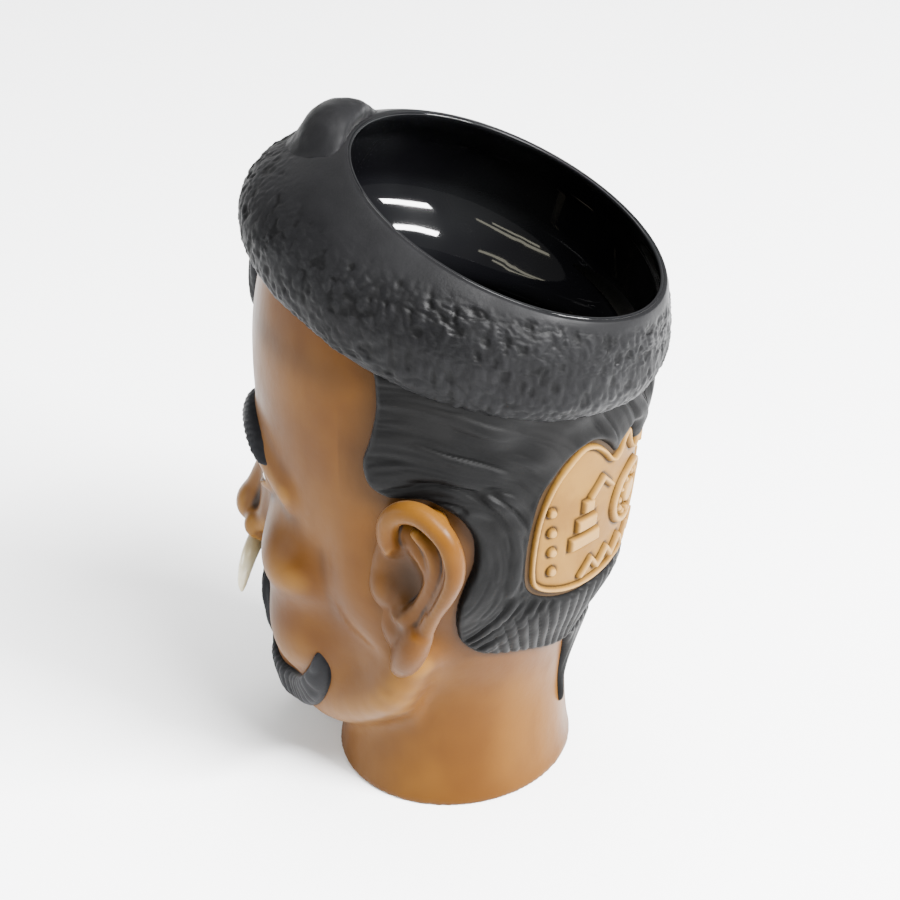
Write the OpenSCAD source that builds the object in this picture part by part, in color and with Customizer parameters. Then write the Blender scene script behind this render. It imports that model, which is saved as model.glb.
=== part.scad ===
// A ceramic mug in the shape of a head with a rolled head of hair.
// The mug is one slip casting with applied pieces: each applied piece and each glazed zone
// is a solid of its own, cut so that neighbours meet face to face.
// Millimetres. The origin is the centre of the flat foot, +Z is up, the face looks along -Y.

/* [Foot and neck] */
// Half-width of the oval foot
foot_half_width = 33.3; // [31:0.1:36]
// Half-depth of the oval foot, front to back
foot_half_depth = 31; // [29.5:0.1:33]
// Half-width of the neck at its waist
neck_half_width = 30.8; // [29:0.1:32]
// Half-depth of the neck at its waist
neck_half_depth = 29.5; // [28:0.1:31]

/* [Head] */
// Half-width of the head above the ears
head_half_width = 46.3; // [45:0.1:48]
// Reach of the forehead in front of the neck's centre
head_front = 49.3; // [48:0.1:50.5]
// Reach of the back of the head behind the neck's centre
head_back = 47.7; // [46.5:0.1:48.5]
// Height of the underside of the chin
chin_height = 12; // [10:0.5:14]

/* [Wall] */
// Thickness of the ceramic wall at the sides and the back
wall = 4.2; // [3.5:0.1:5]
// Thickness of the wall behind the face, where the modelling is deep
face_wall = 8; // [7:0.1:9]
// Thickness of the mug's floor
floor_thick = 6; // [4:0.5:8]
// Thickness of the black glaze inside
glaze = 0.6; // [0.4:0.1:0.9]

/* [Rim] */
// Height of the centre of the rim
rim_height = 156.6; // [154:0.1:159]
// Distance of the rim's centre behind the neck's centre
rim_back = 15.3; // [14:0.1:16.5]
// Slope of the rim, which is higher at the front
rim_tilt = 24; // [21:0.5:26]
// Half-width of the mouth
mouth_half_width = 35.5; // [33:0.1:36.5]
// Half-length of the mouth along its slope
mouth_half_length = 41; // [39:0.1:41.5]

/* [Hair roll] */
// Half-width of the roll
roll_half_width = 48.2; // [47:0.1:50]
// Reach of the roll in front of the neck's centre
roll_front = 50.8; // [50:0.1:53]
// Reach of the roll behind the neck's centre
roll_back = 55; // [54:0.1:57]
// Width of the flat land around the mouth
lip_land = 1.2; // [0.8:0.1:2]
// Height of the top of the small dome on the roll
dome_top = 180; // [178:0.5:182]

/* [Hair, panel and beard] */
// How far the combed hair stands off the skin
hair_thick = 2.4; // [1.8:0.1:3]
// How far the shaved panel stands off the skin below it
panel_thick = 1; // [0.6:0.1:1.4]
// How far the panel's relief stands off the panel
relief_height = 1.2; // [0.8:0.1:1.8]
// Half-width of the shaved panel
panel_half_width = 32.5; // [28:0.5:33]
// How far the beard stands off the chin
beard_thick = 2.2; // [1.5:0.1:3]

/* [Ears and eyes] */
// Height of an ear
ear_height = 50; // [46:0.5:54]
// Distance of each eye from the middle of the face
eye_offset = 18.4; // [17.5:0.1:19]
// Radius of an eyeball
eye_radius = 11; // [10.5:0.1:11.5]

/* [Hidden] */

skin = [0.70, 0.50, 0.32];
slate = [0.24, 0.24, 0.26];
tan = [0.83, 0.68, 0.48];
facets = 36;       // points around each level of the head
level = 11;        // spacing of the head's levels
sliver = 0.02;     // height of the flat pyramids that the hulls join
top = 161;         // where the levels of the head end, inside the roll

// Levels of the neck and the skull: height, half-width, reach to the front, reach to the back
skull = [
    [0, foot_half_width, foot_half_depth, foot_half_depth],
    [5, foot_half_width - 1, foot_half_depth - 0.9, foot_half_depth - 0.9],
    [14, neck_half_width + 0.2, neck_half_depth, neck_half_depth],
    [26, neck_half_width, neck_half_depth, neck_half_depth],
    [36, neck_half_width + 1.2, neck_half_depth + 1, neck_half_depth + 1.7],
    [46, head_half_width - 10.8, head_front - 11, head_back - 13.7],
    [58, head_half_width - 6.8, head_front - 5.5, head_back - 8.9],
    [70, head_half_width - 3.3, head_front - 3.3, head_back - 4.7],
    [84, head_half_width - 1.1, head_front - 2.2, head_back - 2.9],
    [100, head_half_width, head_front - 0.7, head_back - 1.1],
    [116, head_half_width - 0.1, head_front, head_back],
    [130, head_half_width - 1.2, head_front - 0.8, head_back - 0.2],
    [145, head_half_width - 4.8, head_front - 4, head_back - 2],
    [top, head_half_width - 11, head_front - 10, head_back - 4]
];

// Levels of the jaw: height, half-width, reach to the front
jaw = [
    [chin_height, 17, 42],
    [chin_height + 3, 21, 45.2],
    [chin_height + 10, 26.5, 47],
    [chin_height + 22, 33.5, 46.6],
    [chin_height + 34, 38.4, 46],
    [chin_height + 46, 41, 45.6],
    [chin_height + 58, 42.6, 45.8]
];

// A level between the rows of a table, on a smooth curve through them
function at_row(table, i) = table[max(0, min(len(table) - 1, i))];
function row_below(table, z, i = 0) =
    (i >= len(table) - 2 || table[i + 1][0] > z) ? i : row_below(table, z, i + 1);
function between(table, z) =
    let (
        i = row_below(table, z),
        p = at_row(table, i - 1),
        q = at_row(table, i),
        r = at_row(table, i + 1),
        s = at_row(table, i + 2),
        t = (z - q[0]) / (r[0] - q[0]),
        from = (r - p) / max(r[0] - p[0], 1) * (r[0] - q[0]),
        to = (s - q) / max(s[0] - q[0], 1) * (r[0] - q[0])
    )
    q * (2 * t ^ 3 - 3 * t ^ 2 + 1) + from * (t ^ 3 - 2 * t ^ 2 + t)
    + r * (3 * t ^ 2 - 2 * t ^ 3) + to * (t ^ 3 - t ^ 2);

// Outline of an egg: half-width w, reach f to the front and b to the back
function egg(w, f, b) = [
    for (i = [0:facets - 1])
        let (a = 360 * i / facets)
        [w * sin(a), -cos(a) * (cos(a) > 0 ? f : b)]
];

module plate(z, w, f, b) {
    translate([0, 0, z]) linear_extrude(sliver, scale = 0) polygon(egg(w, f, b));
}

module skull_plate(z, grow, grow_front) {
    row = between(skull, z);
    plate(z, row[1] + grow, row[2] + grow_front, row[3] + grow);
}

module jaw_plate(z, grow, grow_front) {
    row = between(jaw, z);
    plate(z, row[1] + grow, row[2] + grow_front, 6);
}

// The neck and skull between two heights, grown or shrunk
module skull_stack(low, high, grow, grow_front) {
    steps = ceil((high - low) / level);
    for (i = [0:steps - 1])
        hull() {
            skull_plate(low + (high - low) * i / steps, grow, grow_front);
            skull_plate(low + (high - low) * (i + 1) / steps, grow, grow_front);
        }
}

module jaw_stack(low, grow, grow_front) {
    high = chin_height + 58;
    steps = 5;
    for (i = [0:steps - 1])
        hull() {
            jaw_plate(low + (high - low) * i / steps, grow, grow_front);
            jaw_plate(low + (high - low) * (i + 1) / steps, grow, grow_front);
        }
}

// Places whatever it is given on the rim's sloping plane
module on_rim(lift) {
    translate([0, rim_back, rim_height]) rotate([-rim_tilt, 0, 0]) translate([0, 0, lift]) children();
}

module rim_plate(lift, half_width, half_length) {
    on_rim(lift) linear_extrude(sliver, scale = 0) polygon(egg(half_width, half_length, half_length));
}

// Everything under the roll's sloping seat
module below_seat() {
    seat = 9; // distance of the seat below the rim
    difference() {
        children();
        on_rim(-seat) translate([-100, -100, 0]) cube([200, 200, 100]);
    }
}

// The skin's surface as a closed solid, without the face's relief
module head_form(grow = 0) {
    skull_stack(0, top, grow, grow);
    jaw_stack(chin_height - grow, grow, grow);
}

// The space inside the mug; inset is the distance from the ceramic to this surface
module cavity(inset, over) {
    low = floor_thick + inset;
    belly = 135;
    skull_stack(low, belly, -wall - inset, -face_wall - inset);
    jaw_stack(chin_height + face_wall, -wall - inset, -face_wall - inset);
    hull() {
        skull_plate(118, -wall - inset, -face_wall - inset);
        rim_plate(-9, mouth_half_width + 2 - inset, mouth_half_length + 1 - inset);
    }
    hull() {
        skull_plate(belly, -wall - inset, -face_wall - inset);
        rim_plate(-6, mouth_half_width + 1.5 - inset, mouth_half_length + 0.8 - inset);
    }
    hull() {
        rim_plate(-9, mouth_half_width + 2 - inset, mouth_half_length + 1 - inset);
        rim_plate(-2, mouth_half_width - inset, mouth_half_length - inset);
    }
    hull() {
        rim_plate(-2, mouth_half_width - inset, mouth_half_length - inset);
        rim_plate(over, mouth_half_width - inset, mouth_half_length - inset);
    }
}

module ellipsoid(centre, radii, detail = 18) {
    translate(centre) scale(radii) sphere(1, $fn = detail);
}

// A run of balls along a path, each pair joined: path rows are [x, y, z, radius]
module rope(path, detail = 10) {
    for (i = [0:len(path) - 2])
        hull() {
            translate([path[i][0], path[i][1], path[i][2]]) sphere(path[i][3], $fn = detail);
            translate([path[i + 1][0], path[i + 1][1], path[i + 1][2]]) sphere(path[i + 1][3], $fn = detail);
        }
}

module both_sides() {
    children();
    mirror([1, 0, 0]) children();
}

// ---------- the face: a calm, general one on even thirds ----------
brow_height = 95;
eye_height = 87.5;
nose_height = 57;
mouth_height = 41;
eye_front = -43.4;                     // the front of each eyeball
eye_centre = [eye_offset, eye_front + eye_radius, eye_height];

module eyeball() {
    translate(eye_centre) sphere(eye_radius, $fn = 32);
}

module face_relief() {
    // bridge, tip and wings of the nose
    rope([[0, -43, brow_height, 5], [0, -47, 84, 4.4], [0, -51.6, 70, 5], [0, -54.2, 61.5, 6]], 12);
    both_sides() rope([[0, -51.5, 60.5, 5.4], [7.4, -48.5, nose_height + 3, 4.8]]);
    // ridge over the eyes
    both_sides() rope([[3, -44.6, brow_height + 2, 4.2], [14, -43.2, brow_height + 4, 4.2],
        [26, -37.4, brow_height + 2, 4], [33, -30.5, brow_height - 4, 3.4]]);
    // cheekbones
    both_sides() ellipsoid([26, -28, 67], [15, 11, 13]);
    // lips
    both_sides() rope([[0, -47, mouth_height + 3, 3], [7, -45.8, mouth_height + 3.2, 2.8],
        [16.5, -40.6, mouth_height + 0.4, 1.6]]);
    both_sides() rope([[0, -46.8, mouth_height - 3, 3.4], [7, -45.4, mouth_height - 2.6, 3],
        [16.5, -40.6, mouth_height + 0.2, 1.5]]);
    // chin
    ellipsoid([0, -39, chin_height + 10], [13, 10.5, 9]);
}

module lids() {
    both_sides() {
        rope([[eye_offset - 9.6, -42.4, eye_height - 0.6, 1], [eye_offset - 4, -43.6, eye_height + 4, 1.5],
            [eye_offset + 3, -42.4, eye_height + 4.4, 1.6], [eye_offset + 9.6, -36.6, eye_height, 1]], 8);
        rope([[eye_offset - 9.6, -42.4, eye_height - 0.6, 1], [eye_offset - 3, -43, eye_height - 4.2, 1.2],
            [eye_offset + 4, -41.2, eye_height - 4, 1.2], [eye_offset + 9.6, -36.6, eye_height, 1]], 8);
    }
}

module sockets() {
    both_sides() ellipsoid([eye_offset, -46.5, eye_height - 0.5], [11, 5.6, 7.2]);
}

// ---------- nodes ----------
module head_body() {
    color(skin) difference() {
        union() {
            difference() {
                union() {
                    below_seat() head_form();
                    face_relief();
                }
                sockets();
            }
            lids();
        }
        cavity(0, 12);
        eye_left();
        eye_right();
        nose_tusk();
    }
}

module glaze_liner() {
    color([0.05, 0.05, 0.05]) difference() {
        cavity(0, 0);
        cavity(glaze, 12);
    }
}

// Heights of the roll's widest line and of its lower edge, round from the front
function roll_belly_height(a) = 143 + 14.5 * cos(a) - 1.2 * cos(2 * a);
function roll_edge_height(a) = 132.6 + 16.8 * cos(a);

// A curve with two handles, as n + 1 points
function curve(p, q, r, s, n) = [
    for (i = [0:n])
        let (t = i / n)
        p * (1 - t) ^ 3 + q * 3 * t * (1 - t) ^ 2 + r * 3 * t ^ 2 * (1 - t) + s * t ^ 3
];

// One section of the roll: over the crest from the lip, round the belly, in at the lower edge
function roll_section(a) =
    let (
        slope = -mouth_half_length * cos(a),
        land_width = mouth_half_width + lip_land,
        lip = [land_width * sin(a),
            rim_back + (slope - lip_land * cos(a)) * cos(rim_tilt),
            rim_height - (slope - lip_land * cos(a)) * sin(rim_tilt)],
        belly = [roll_half_width * sin(a), -cos(a) * (cos(a) > 0 ? roll_front : roll_back),
            roll_belly_height(a)],
        row = between(skull, roll_edge_height(a)),
        edge = [(row[1] + 1) * sin(a), -cos(a) * ((cos(a) > 0 ? row[2] : row[3]) + 1), row[0]],
        reach = norm(belly - lip),
        out = [sin(a), -cos(a) * cos(rim_tilt), cos(a) * sin(rim_tilt)],
        drop = belly[2] - edge[2],
        foot = [edge[0] * 0.8, edge[1] * 0.8, edge[2] + 1],
        under = [lip[0] * 0.8, rim_back + (lip[1] - rim_back) * 0.8, lip[2] - 5]
    )
    concat(
        curve(lip, lip + out * 0.03 * reach, belly + [0, 0, 0.4 * reach], belly, 6),
        [for (i = [1:4]) curve(belly, belly - [0, 0, 0.9 * drop],
            edge + [1.6 * sin(a), -1.6 * cos(a), 0.12 * drop], edge, 4)[i]],
        [foot, under]
    );

module roll_ring() {
    rings = 42;
    sections = [for (i = [0:rings - 1]) roll_section(360 * i / rings)];
    n = len(sections[0]);
    polyhedron(
        points = [for (s = sections) for (p = s) p],
        faces = [
            for (i = [0:rings - 1])
                for (j = [0:n - 1])
                    for (half = [0, 1])
                        let (
                            here = i * n + j,
                            down = i * n + (j + 1) % n,
                            next = ((i + 1) % rings) * n + j,
                            next_down = ((i + 1) % rings) * n + (j + 1) % n
                        )
                        half == 0 ? [here, next, down] : [next, next_down, down]
        ]
    );
}

module hair_roll() {
    color(slate) difference() {
        roll_ring();
        below_seat() head_form();
        cavity(0, 12);
    }
}

module topknot() {
    color(slate) difference() {
        ellipsoid([0, -28, dome_top - 6], [9, 8, 6]);
        roll_ring();
        below_seat() head_form();
        cavity(0, 12);
    }
}

module forelock() {
    color(slate) difference() {
        rope([[0, -46.4, 150, 4.6], [0, -49, 140, 4.6], [0, -49.9, 131, 4], [1, -50, 124.6, 2.8],
            [0.4, -49.8, 120, 1]]);
        roll_ring();
        head_form();
    }
}

// Side view of the combed hair: from the sideburn back over the ear and down to the nape
hair_outline = [
    [-4, 140], [-3, 131], [-2, 120], [-3.6, 110], [-3.4, 106], [-0.5, 102], [4, 100.5], [9, 98],
    [14, 95], [17, 88], [16.5, 78], [15.4, 68], [14.6, 62], [16, 57], [19, 53.4], [24, 50.5],
    [29, 48], [33, 44.5], [70, 42], [70, 140]
];

// Rear view of the tail of hair on the neck
tail_outline = [
    [-11, 46], [-10, 42], [-6, 37], [-3.8, 31], [-2, 25], [0, 18],
    [2, 25], [3.8, 31], [6, 37], [10, 42], [11, 46]
];

// Rear view of the shaved panel's upper edge: tufts of hair hang over it
tufts = [
    [31.4, 97], [29.6, 102.6], [26, 107.8], [22, 110.6], [17.8, 109.4], [14.6, 106.8],
    [11, 103.6], [8.4, 107.2], [4.8, 108], [2.6, 103.8], [0, 101]
];

module panel_outline() {
    rim_points = concat(
        [for (p = tufts) [p[0] * panel_half_width / 31, p[1]]],
        [for (i = [len(tufts) - 2:-1:0]) [-tufts[i][0] * panel_half_width / 31, tufts[i][1]]]
    );
    offset(2) offset(-2) polygon(concat(rim_points,
        [[-panel_half_width, 76], [-panel_half_width + 7, 70], [-14, 66], [14, 66],
        [panel_half_width - 7, 70], [panel_half_width, 76]]));
}

// Carries a rear-view outline on to the back of the head
module on_back() {
    translate([0, 90, 0]) rotate([90, 0, 0]) linear_extrude(80) children();
}

// Carries a side-view outline through the head, across its middle
module across_head() {
    rotate([90, 0, 90]) linear_extrude(140, center = true) children();
}

module skin_layer(from, to) {
    difference() {
        skull_stack(15, 150, to, to);
        skull_stack(14, 151, from, from);
    }
}

module hair_half() {
    difference() {
        intersection() {
            skin_layer(0, hair_thick);
            across_head() polygon(hair_outline);
            translate([0, -100, 0]) cube([100, 200, 200]);
        }
        on_back() panel_outline();
        head_form();
        roll_ring();
        cavity(0, 12);
    }
}

module hair_left() {
    color(slate) hair_half();
}

module hair_right() {
    color(slate) mirror([1, 0, 0]) hair_half();
}

module nape_tail() {
    color(slate) difference() {
        intersection() {
            skin_layer(0, hair_thick + 0.6);
            on_back() polygon(tail_outline);
        }
        across_head() polygon(hair_outline);
    }
}

module back_panel() {
    color(tan) intersection() {
        skin_layer(0, panel_thick);
        on_back() panel_outline();
    }
}

module panel_border() {
    color(tan) intersection() {
        skin_layer(panel_thick, panel_thick + relief_height);
        on_back() difference() {
            offset(-0.9) panel_outline();
            offset(-2.1) panel_outline();
        }
    }
}

module ring(radius, width) {
    difference() {
        circle(radius, $fn = 24);
        circle(radius - width, $fn = 24);
    }
}

// Rings in the middle, a zigzag under them and stepped blocks at each side
module motif_outline() {
    translate([0, 86]) {
        ring(8.5, 1.8);
        circle(3.2, $fn = 16);
    }
    for (i = [-3:2])
        for (side = [0, 1])
            hull() {
                translate([i * 6 + side * 3, side == 0 ? 70.5 : 74.5]) circle(0.8, $fn = 6);
                translate([i * 6 + 3 + side * 3, side == 0 ? 74.5 : 70.5]) circle(0.8, $fn = 6);
            }
    for (side = [-1, 1])
        for (i = [0:2])
            translate([side * 18 - (6 - 2 * i) * 0.75, 80 + 5 * i]) square([(6 - 2 * i) * 1.5, 3.6]);
}

module panel_motifs() {
    color(tan) intersection() {
        skin_layer(panel_thick, panel_thick + relief_height);
        on_back() motif_outline();
    }
}

ear_scale = ear_height / 50;

module ear_shape() {
    // the curled rim, from the front of the ear over the top and down the back
    rope([[43.5, 1, 84, 3], [46, 1.6, 92, 3], [48, 5.5, 98, 3.2], [49.4, 12, 98.6, 3.4], [50, 18, 94.5, 3.4],
        [50, 20.4, 87, 3.4], [48.8, 18.6, 78.5, 3.2], [47, 14.6, 71, 3]]);
    // the lobe
    rope([[47, 14.6, 71, 3], [45.6, 9, 63, 4.6], [43.4, 4.4, 56, 4.8], [40.5, 0.6, 52.6, 3.4]]);
    // the hollow behind the rim
    hull() {
        for (place = [[43, 6, 92], [44, 15, 90], [43.5, 12, 76], [41, 3, 64], [41.5, 1, 80]])
            translate(place) sphere(3.4, $fn = 10);
    }
    // the small flap in front
    rope([[43.6, -0.6, 72, 2.6], [42.4, -1, 64, 3]]);
}

module ear() {
    pivot = [44, 6, 75];
    difference() {
        translate(pivot) scale(ear_scale) translate(-pivot) ear_shape();
        head_form();
        hair_half();
    }
}

module ear_left() {
    color(skin) ear();
}

module ear_right() {
    color(skin) mirror([1, 0, 0]) ear();
}

module brow() {
    difference() {
        rope([[5, -47.6, brow_height + 3, 2.2], [12, -46.4, brow_height + 6.6, 2.8],
            [21, -43, brow_height + 8, 2.6], [30, -36, brow_height + 5, 1.8],
            [34, -31.6, brow_height + 1.6, 0.8]]);
        head_form();
        face_relief();
    }
}

module brow_left() {
    color(slate) brow();
}

module brow_right() {
    color(slate) mirror([1, 0, 0]) brow();
}

// Each eye is the front cap of a ball
module eye() {
    cap = 4.5;
    intersection() {
        eyeball();
        translate([0, eye_front - 1, eye_height - 20]) cube([40, cap + 1, 40]);
    }
}

module eye_left() {
    color([0.9, 0.88, 0.82]) eye();
}

module eye_right() {
    color([0.9, 0.88, 0.82]) mirror([1, 0, 0]) eye();
}

module moustache_half() {
    difference() {
        rope([[1.4, -49.4, 48.6, 2.6], [8, -48.4, 48, 2.6], [15, -44.6, 45, 2.2],
            [20, -41, 40, 1.6], [21.6, -39.6, 35, 0.7]]);
        head_form();
        face_relief();
        translate([-10, -80, 0]) cube([10, 80, 100]);
    }
}

module moustache_left() {
    color(slate) moustache_half();
}

module moustache_right() {
    color(slate) mirror([1, 0, 0]) moustache_half();
}

// Front view of the goatee: a crescent along the chin with its tips turned up
module goatee_outline() {
    difference() {
        translate([0, 34]) scale([1.15, 1]) circle(26, $fn = 48);
        translate([0, 46]) scale([1.1, 1]) circle(27, $fn = 48);
        translate([-40, 41]) square([80, 60]);
    }
    translate([-4, 14]) square([8, 12]);
}

module goatee() {
    color(slate) difference() {
        intersection() {
            union() {
                jaw_stack(chin_height - beard_thick, beard_thick, beard_thick);
                minkowski() {
                    ellipsoid([0, -39, chin_height + 10], [13, 10.5, 9], 16);
                    sphere(beard_thick, $fn = 8);
                }
            }
            translate([0, -15, 0]) rotate([90, 0, 0]) linear_extrude(60) goatee_outline();
        }
        head_form();
        face_relief();
    }
}

// A crescent tusk through the nose, its two points turned down
module nose_tusk() {
    tusk_height = nose_height - 1;
    color([0.93, 0.89, 0.76]) for (side = [-1, 1])
        rope([for (i = [0:4])
            let (a = 90 - 22 * i)
            [side * 13 * cos(a), -52.5 - 1.2 * i / 4, tusk_height - 12.4 + 12 * sin(a), 2.4 - 0.42 * i]], 10);
}

head_body();
glaze_liner();
hair_roll();
topknot();
forelock();
hair_left();
hair_right();
nape_tail();
back_panel();
panel_border();
panel_motifs();
ear_left();
ear_right();
brow_left();
brow_right();
eye_left();
eye_right();
moustache_left();
moustache_right();
goatee();
nose_tusk();
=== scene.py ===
import math
import bpy
import numpy as np
import openvdb
from mathutils import Matrix, Vector


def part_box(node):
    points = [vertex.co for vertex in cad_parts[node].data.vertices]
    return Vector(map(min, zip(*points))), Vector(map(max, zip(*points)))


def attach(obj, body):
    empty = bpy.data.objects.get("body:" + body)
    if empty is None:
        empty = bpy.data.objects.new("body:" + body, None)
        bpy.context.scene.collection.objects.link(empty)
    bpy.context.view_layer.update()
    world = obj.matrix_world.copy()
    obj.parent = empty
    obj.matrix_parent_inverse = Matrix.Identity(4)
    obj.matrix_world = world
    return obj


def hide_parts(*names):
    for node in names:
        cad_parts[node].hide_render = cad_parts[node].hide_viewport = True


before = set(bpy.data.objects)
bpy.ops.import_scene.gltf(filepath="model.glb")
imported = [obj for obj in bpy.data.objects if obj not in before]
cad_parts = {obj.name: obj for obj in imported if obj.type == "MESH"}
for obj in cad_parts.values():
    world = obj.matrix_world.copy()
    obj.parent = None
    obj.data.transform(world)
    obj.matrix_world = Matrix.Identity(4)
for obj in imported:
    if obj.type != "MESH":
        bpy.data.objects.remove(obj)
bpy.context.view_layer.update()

# Everything is modelled in millimetres and scaled to metres when a mesh is made.
# +Z is up, the face looks along -Y and the head's left side is +X, as in the CAD frame.
MM = 0.001
FAR = 1.0e3
SIDES = ((1, "left"), (-1, "right"))


def node_box(name):
    """A CAD node's lowest and highest corner, in millimetres."""
    low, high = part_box(name)
    return np.array(low) / MM, np.array(high) / MM


# ---------------------------------------------------------------- the head's levels

roll_low, roll_high = node_box("hair_roll")
CHIN = 12.0
WALL = 4.2
FACE_WALL = 8.0        # from the hollow to the plain skull behind the face
FLOOR_THICK = 6.0
GLAZE = 0.6
RIM = np.array([0.0, 15.3, 156.6])
RIM_TILT = math.radians(24)
MOUTH_HALF_WIDTH = 35.5
MOUTH_HALF_LENGTH = 41.0
LIP_LAND = 1.2         # flat of the lip, outside the mouth
ROLL_HALF_WIDTH = 48.2
ROLL_FRONT = -roll_low[1]
ROLL_BACK = roll_high[1]
HEAD_TOP = 161.0

# height, half-width, reach to the front, reach to the back
SKULL = np.array([
    [0, 33.3, 31, 31],
    [5, 32.3, 30.1, 30.1],
    [14, 31, 29.5, 29.5],
    [26, 30.8, 29.5, 29.5],
    [36, 32.0, 30.5, 31.2],
    [46, 35.5, 38.3, 34.0],
    [58, 39.5, 43.8, 38.8],
    [70, 43, 46, 43],
    [84, 45.2, 47.1, 44.8],
    [100, 46.3, 48.6, 46.6],
    [116, 46.2, 49.3, 47.7],
    [130, 45.1, 48.5, 47.5],
    [145, 41.5, 45.3, 45.7],
    [161, 35.3, 39.3, 43.7],
], float)

# height, half-width, reach to the front
JAW = np.array([
    [12, 17, 42],
    [15, 21, 45.2],
    [22, 26.5, 47],
    [34, 33.5, 46.6],
    [46, 38.4, 46],
    [58, 41, 45.6],
    [70, 42.6, 45.8],
], float)


def hermite(start, leave, end, arrive, t):
    """A cubic from start to end with the given slopes, t from 0 to 1."""
    return (start * (2 * t**3 - 3 * t**2 + 1) + leave * (t**3 - 2 * t**2 + t)
            + end * (3 * t**2 - 2 * t**3) + arrive * (t**3 - t**2))


def through(before, here, after, last, t):
    """A smooth curve from here to after that passes through all four points."""
    return 0.5 * (2 * here + (after - before) * t + (2 * before - 5 * here + 4 * after - last) * t**2
                  + (3 * here - before - 3 * after + last) * t**3)


def smooth_table(table, step=0.25):
    """The table's columns on a smooth curve through its rows, at an even spacing in height."""
    heights = np.arange(table[0, 0], table[-1, 0] + step, step)
    row = np.clip(np.searchsorted(table[:, 0], heights, side="right") - 1, 0, len(table) - 2)
    ends = len(table) - 1
    before, here, after, last = (table[np.clip(row + k, 0, ends)] for k in (-1, 0, 1, 2))
    span = after[:, :1] - here[:, :1]
    t = (heights[:, None] - here[:, :1]) / span
    leave = (after - before) / np.maximum(after[:, :1] - before[:, :1], 1) * span
    arrive = (last - here) / np.maximum(last[:, :1] - here[:, :1], 1) * span
    curve = hermite(here, leave, after, arrive, t)
    curve[:, 0] = heights
    return curve


SKULL_CURVE = smooth_table(SKULL)
JAW_CURVE = smooth_table(JAW)


def column(curve, z, index):
    """A column of a smooth table, read at a height."""
    return np.interp(z, curve[:, 0], curve[:, index])


def egg_radius(sine, cosine, width, front, back):
    """Distance from the axis to an egg-shaped outline; cosine is 1 at the front."""
    depth = np.where(cosine > 0, front, back)
    return 1 / np.sqrt((sine / width) ** 2 + (cosine / depth) ** 2)


def skull_radius(angle, z, grow=0.0, grow_front=None):
    """The skull's radius at an angle from the front and at a height."""
    grow_front = grow if grow_front is None else grow_front
    return egg_radius(np.sin(angle), np.cos(angle), column(SKULL_CURVE, z, 1) + grow,
                      column(SKULL_CURVE, z, 2) + grow_front, column(SKULL_CURVE, z, 3) + grow)


def on_skull(angle, z, lift):
    """Points that stand a distance off the skull."""
    radius = skull_radius(angle, z) + lift
    return np.stack([radius * np.sin(angle), -radius * np.cos(angle), z + 0 * angle], -1)


# ---------------------------------------------------------------- noise

def hashed(cell, seed):
    """A repeatable random number from 0 to 1 for each whole-number cell."""
    cell = cell.astype(np.int64)
    value = cell[..., 0] * 73856093 ^ cell[..., 1] * 19349663 ^ cell[..., 2] * 83492791 ^ (seed * 2654435761)
    value = (value ^ (value >> 13)) * 1274126177 & 0x7FFFFFFF
    value = (value ^ (value >> 16)) * 668265263 & 0x7FFFFFFF
    return (value % 65521) / 65521.0


def noise(points, size, seed=0):
    """Smooth noise from -1 to 1."""
    spot = points / size
    cell = np.floor(spot)
    t = spot - cell
    t = t * t * (3 - 2 * t)
    total = np.zeros(points.shape[:-1])
    for corner in np.ndindex(2, 2, 2):
        weight = np.prod(np.where(np.array(corner) == 1, t, 1 - t), axis=-1)
        total += weight * hashed(cell + np.array(corner), seed)
    return 2 * total - 1


def cell_noise(points, size, seed=0):
    """Distances to the nearest and second nearest of scattered points, in cells."""
    spot = points / size
    cell = np.floor(spot)
    first = np.full(points.shape[:-1], 9.0)
    second = np.full(points.shape[:-1], 9.0)
    for offset in np.ndindex(3, 3, 3):
        near = cell + np.array(offset) - 1
        target = near + np.stack([hashed(near, seed + k) for k in range(3)], -1)
        distance = np.linalg.norm(spot - target, axis=-1)
        second = np.minimum(second, np.maximum(first, distance))
        first = np.minimum(first, distance)
    return first, second


def step_between(low, high, value):
    """A smooth step from 0 at low to 1 at high."""
    t = np.clip((value - low) / (high - low), 0, 1)
    return t * t * (3 - 2 * t)


# ---------------------------------------------------------------- solids as distance fields

def blend_min(a, b, soft):
    """Joins two solids with a fillet."""
    h = np.clip(0.5 + 0.5 * (b - a) / soft, 0, 1)
    return b + (a - b) * h - soft * h * (1 - h)


def blend_max(a, b, soft):
    """Keeps what two solids share, with its edge rounded."""
    return -blend_min(-a, -b, soft)


def ellipsoid(points, centre, radii):
    """Distance to an ellipsoid, true near its surface."""
    offset = (points - np.array(centre)) / np.array(radii)
    near = np.linalg.norm(offset, axis=-1)
    steep = np.linalg.norm(offset / np.array(radii), axis=-1)
    return near * (near - 1) / np.maximum(steep, 1e-6)


def nearest_on_line(points, start, end):
    """How far along the line the nearest spot lies, from 0 to 1, and the distance to it."""
    along = end - start
    t = np.clip(((points - start) @ along) / max(along @ along, 1e-9), 0, 1)
    return t, np.linalg.norm(points - start - t[..., None] * along, axis=-1)


def taper(points, start, end):
    """Distance to a tapering stroke; the last number of start and of end is its half-width."""
    t, gap = nearest_on_line(points, start[:-1], end[:-1])
    return gap - (start[-1] + (end[-1] - start[-1]) * t)


def polyline(points, path):
    """Distance to tapering strokes from each row of a path to the next."""
    path = np.array(path, float)
    total = np.full(points.shape[:-1], FAR)
    for start, end in zip(path[:-1], path[1:]):
        total = np.minimum(total, taper(points, start, end))
    return total


def stroke(points, path):
    """Distance to one tapering stroke that runs smoothly through a path's rows."""
    return polyline(points, smooth_path(path))


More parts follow.
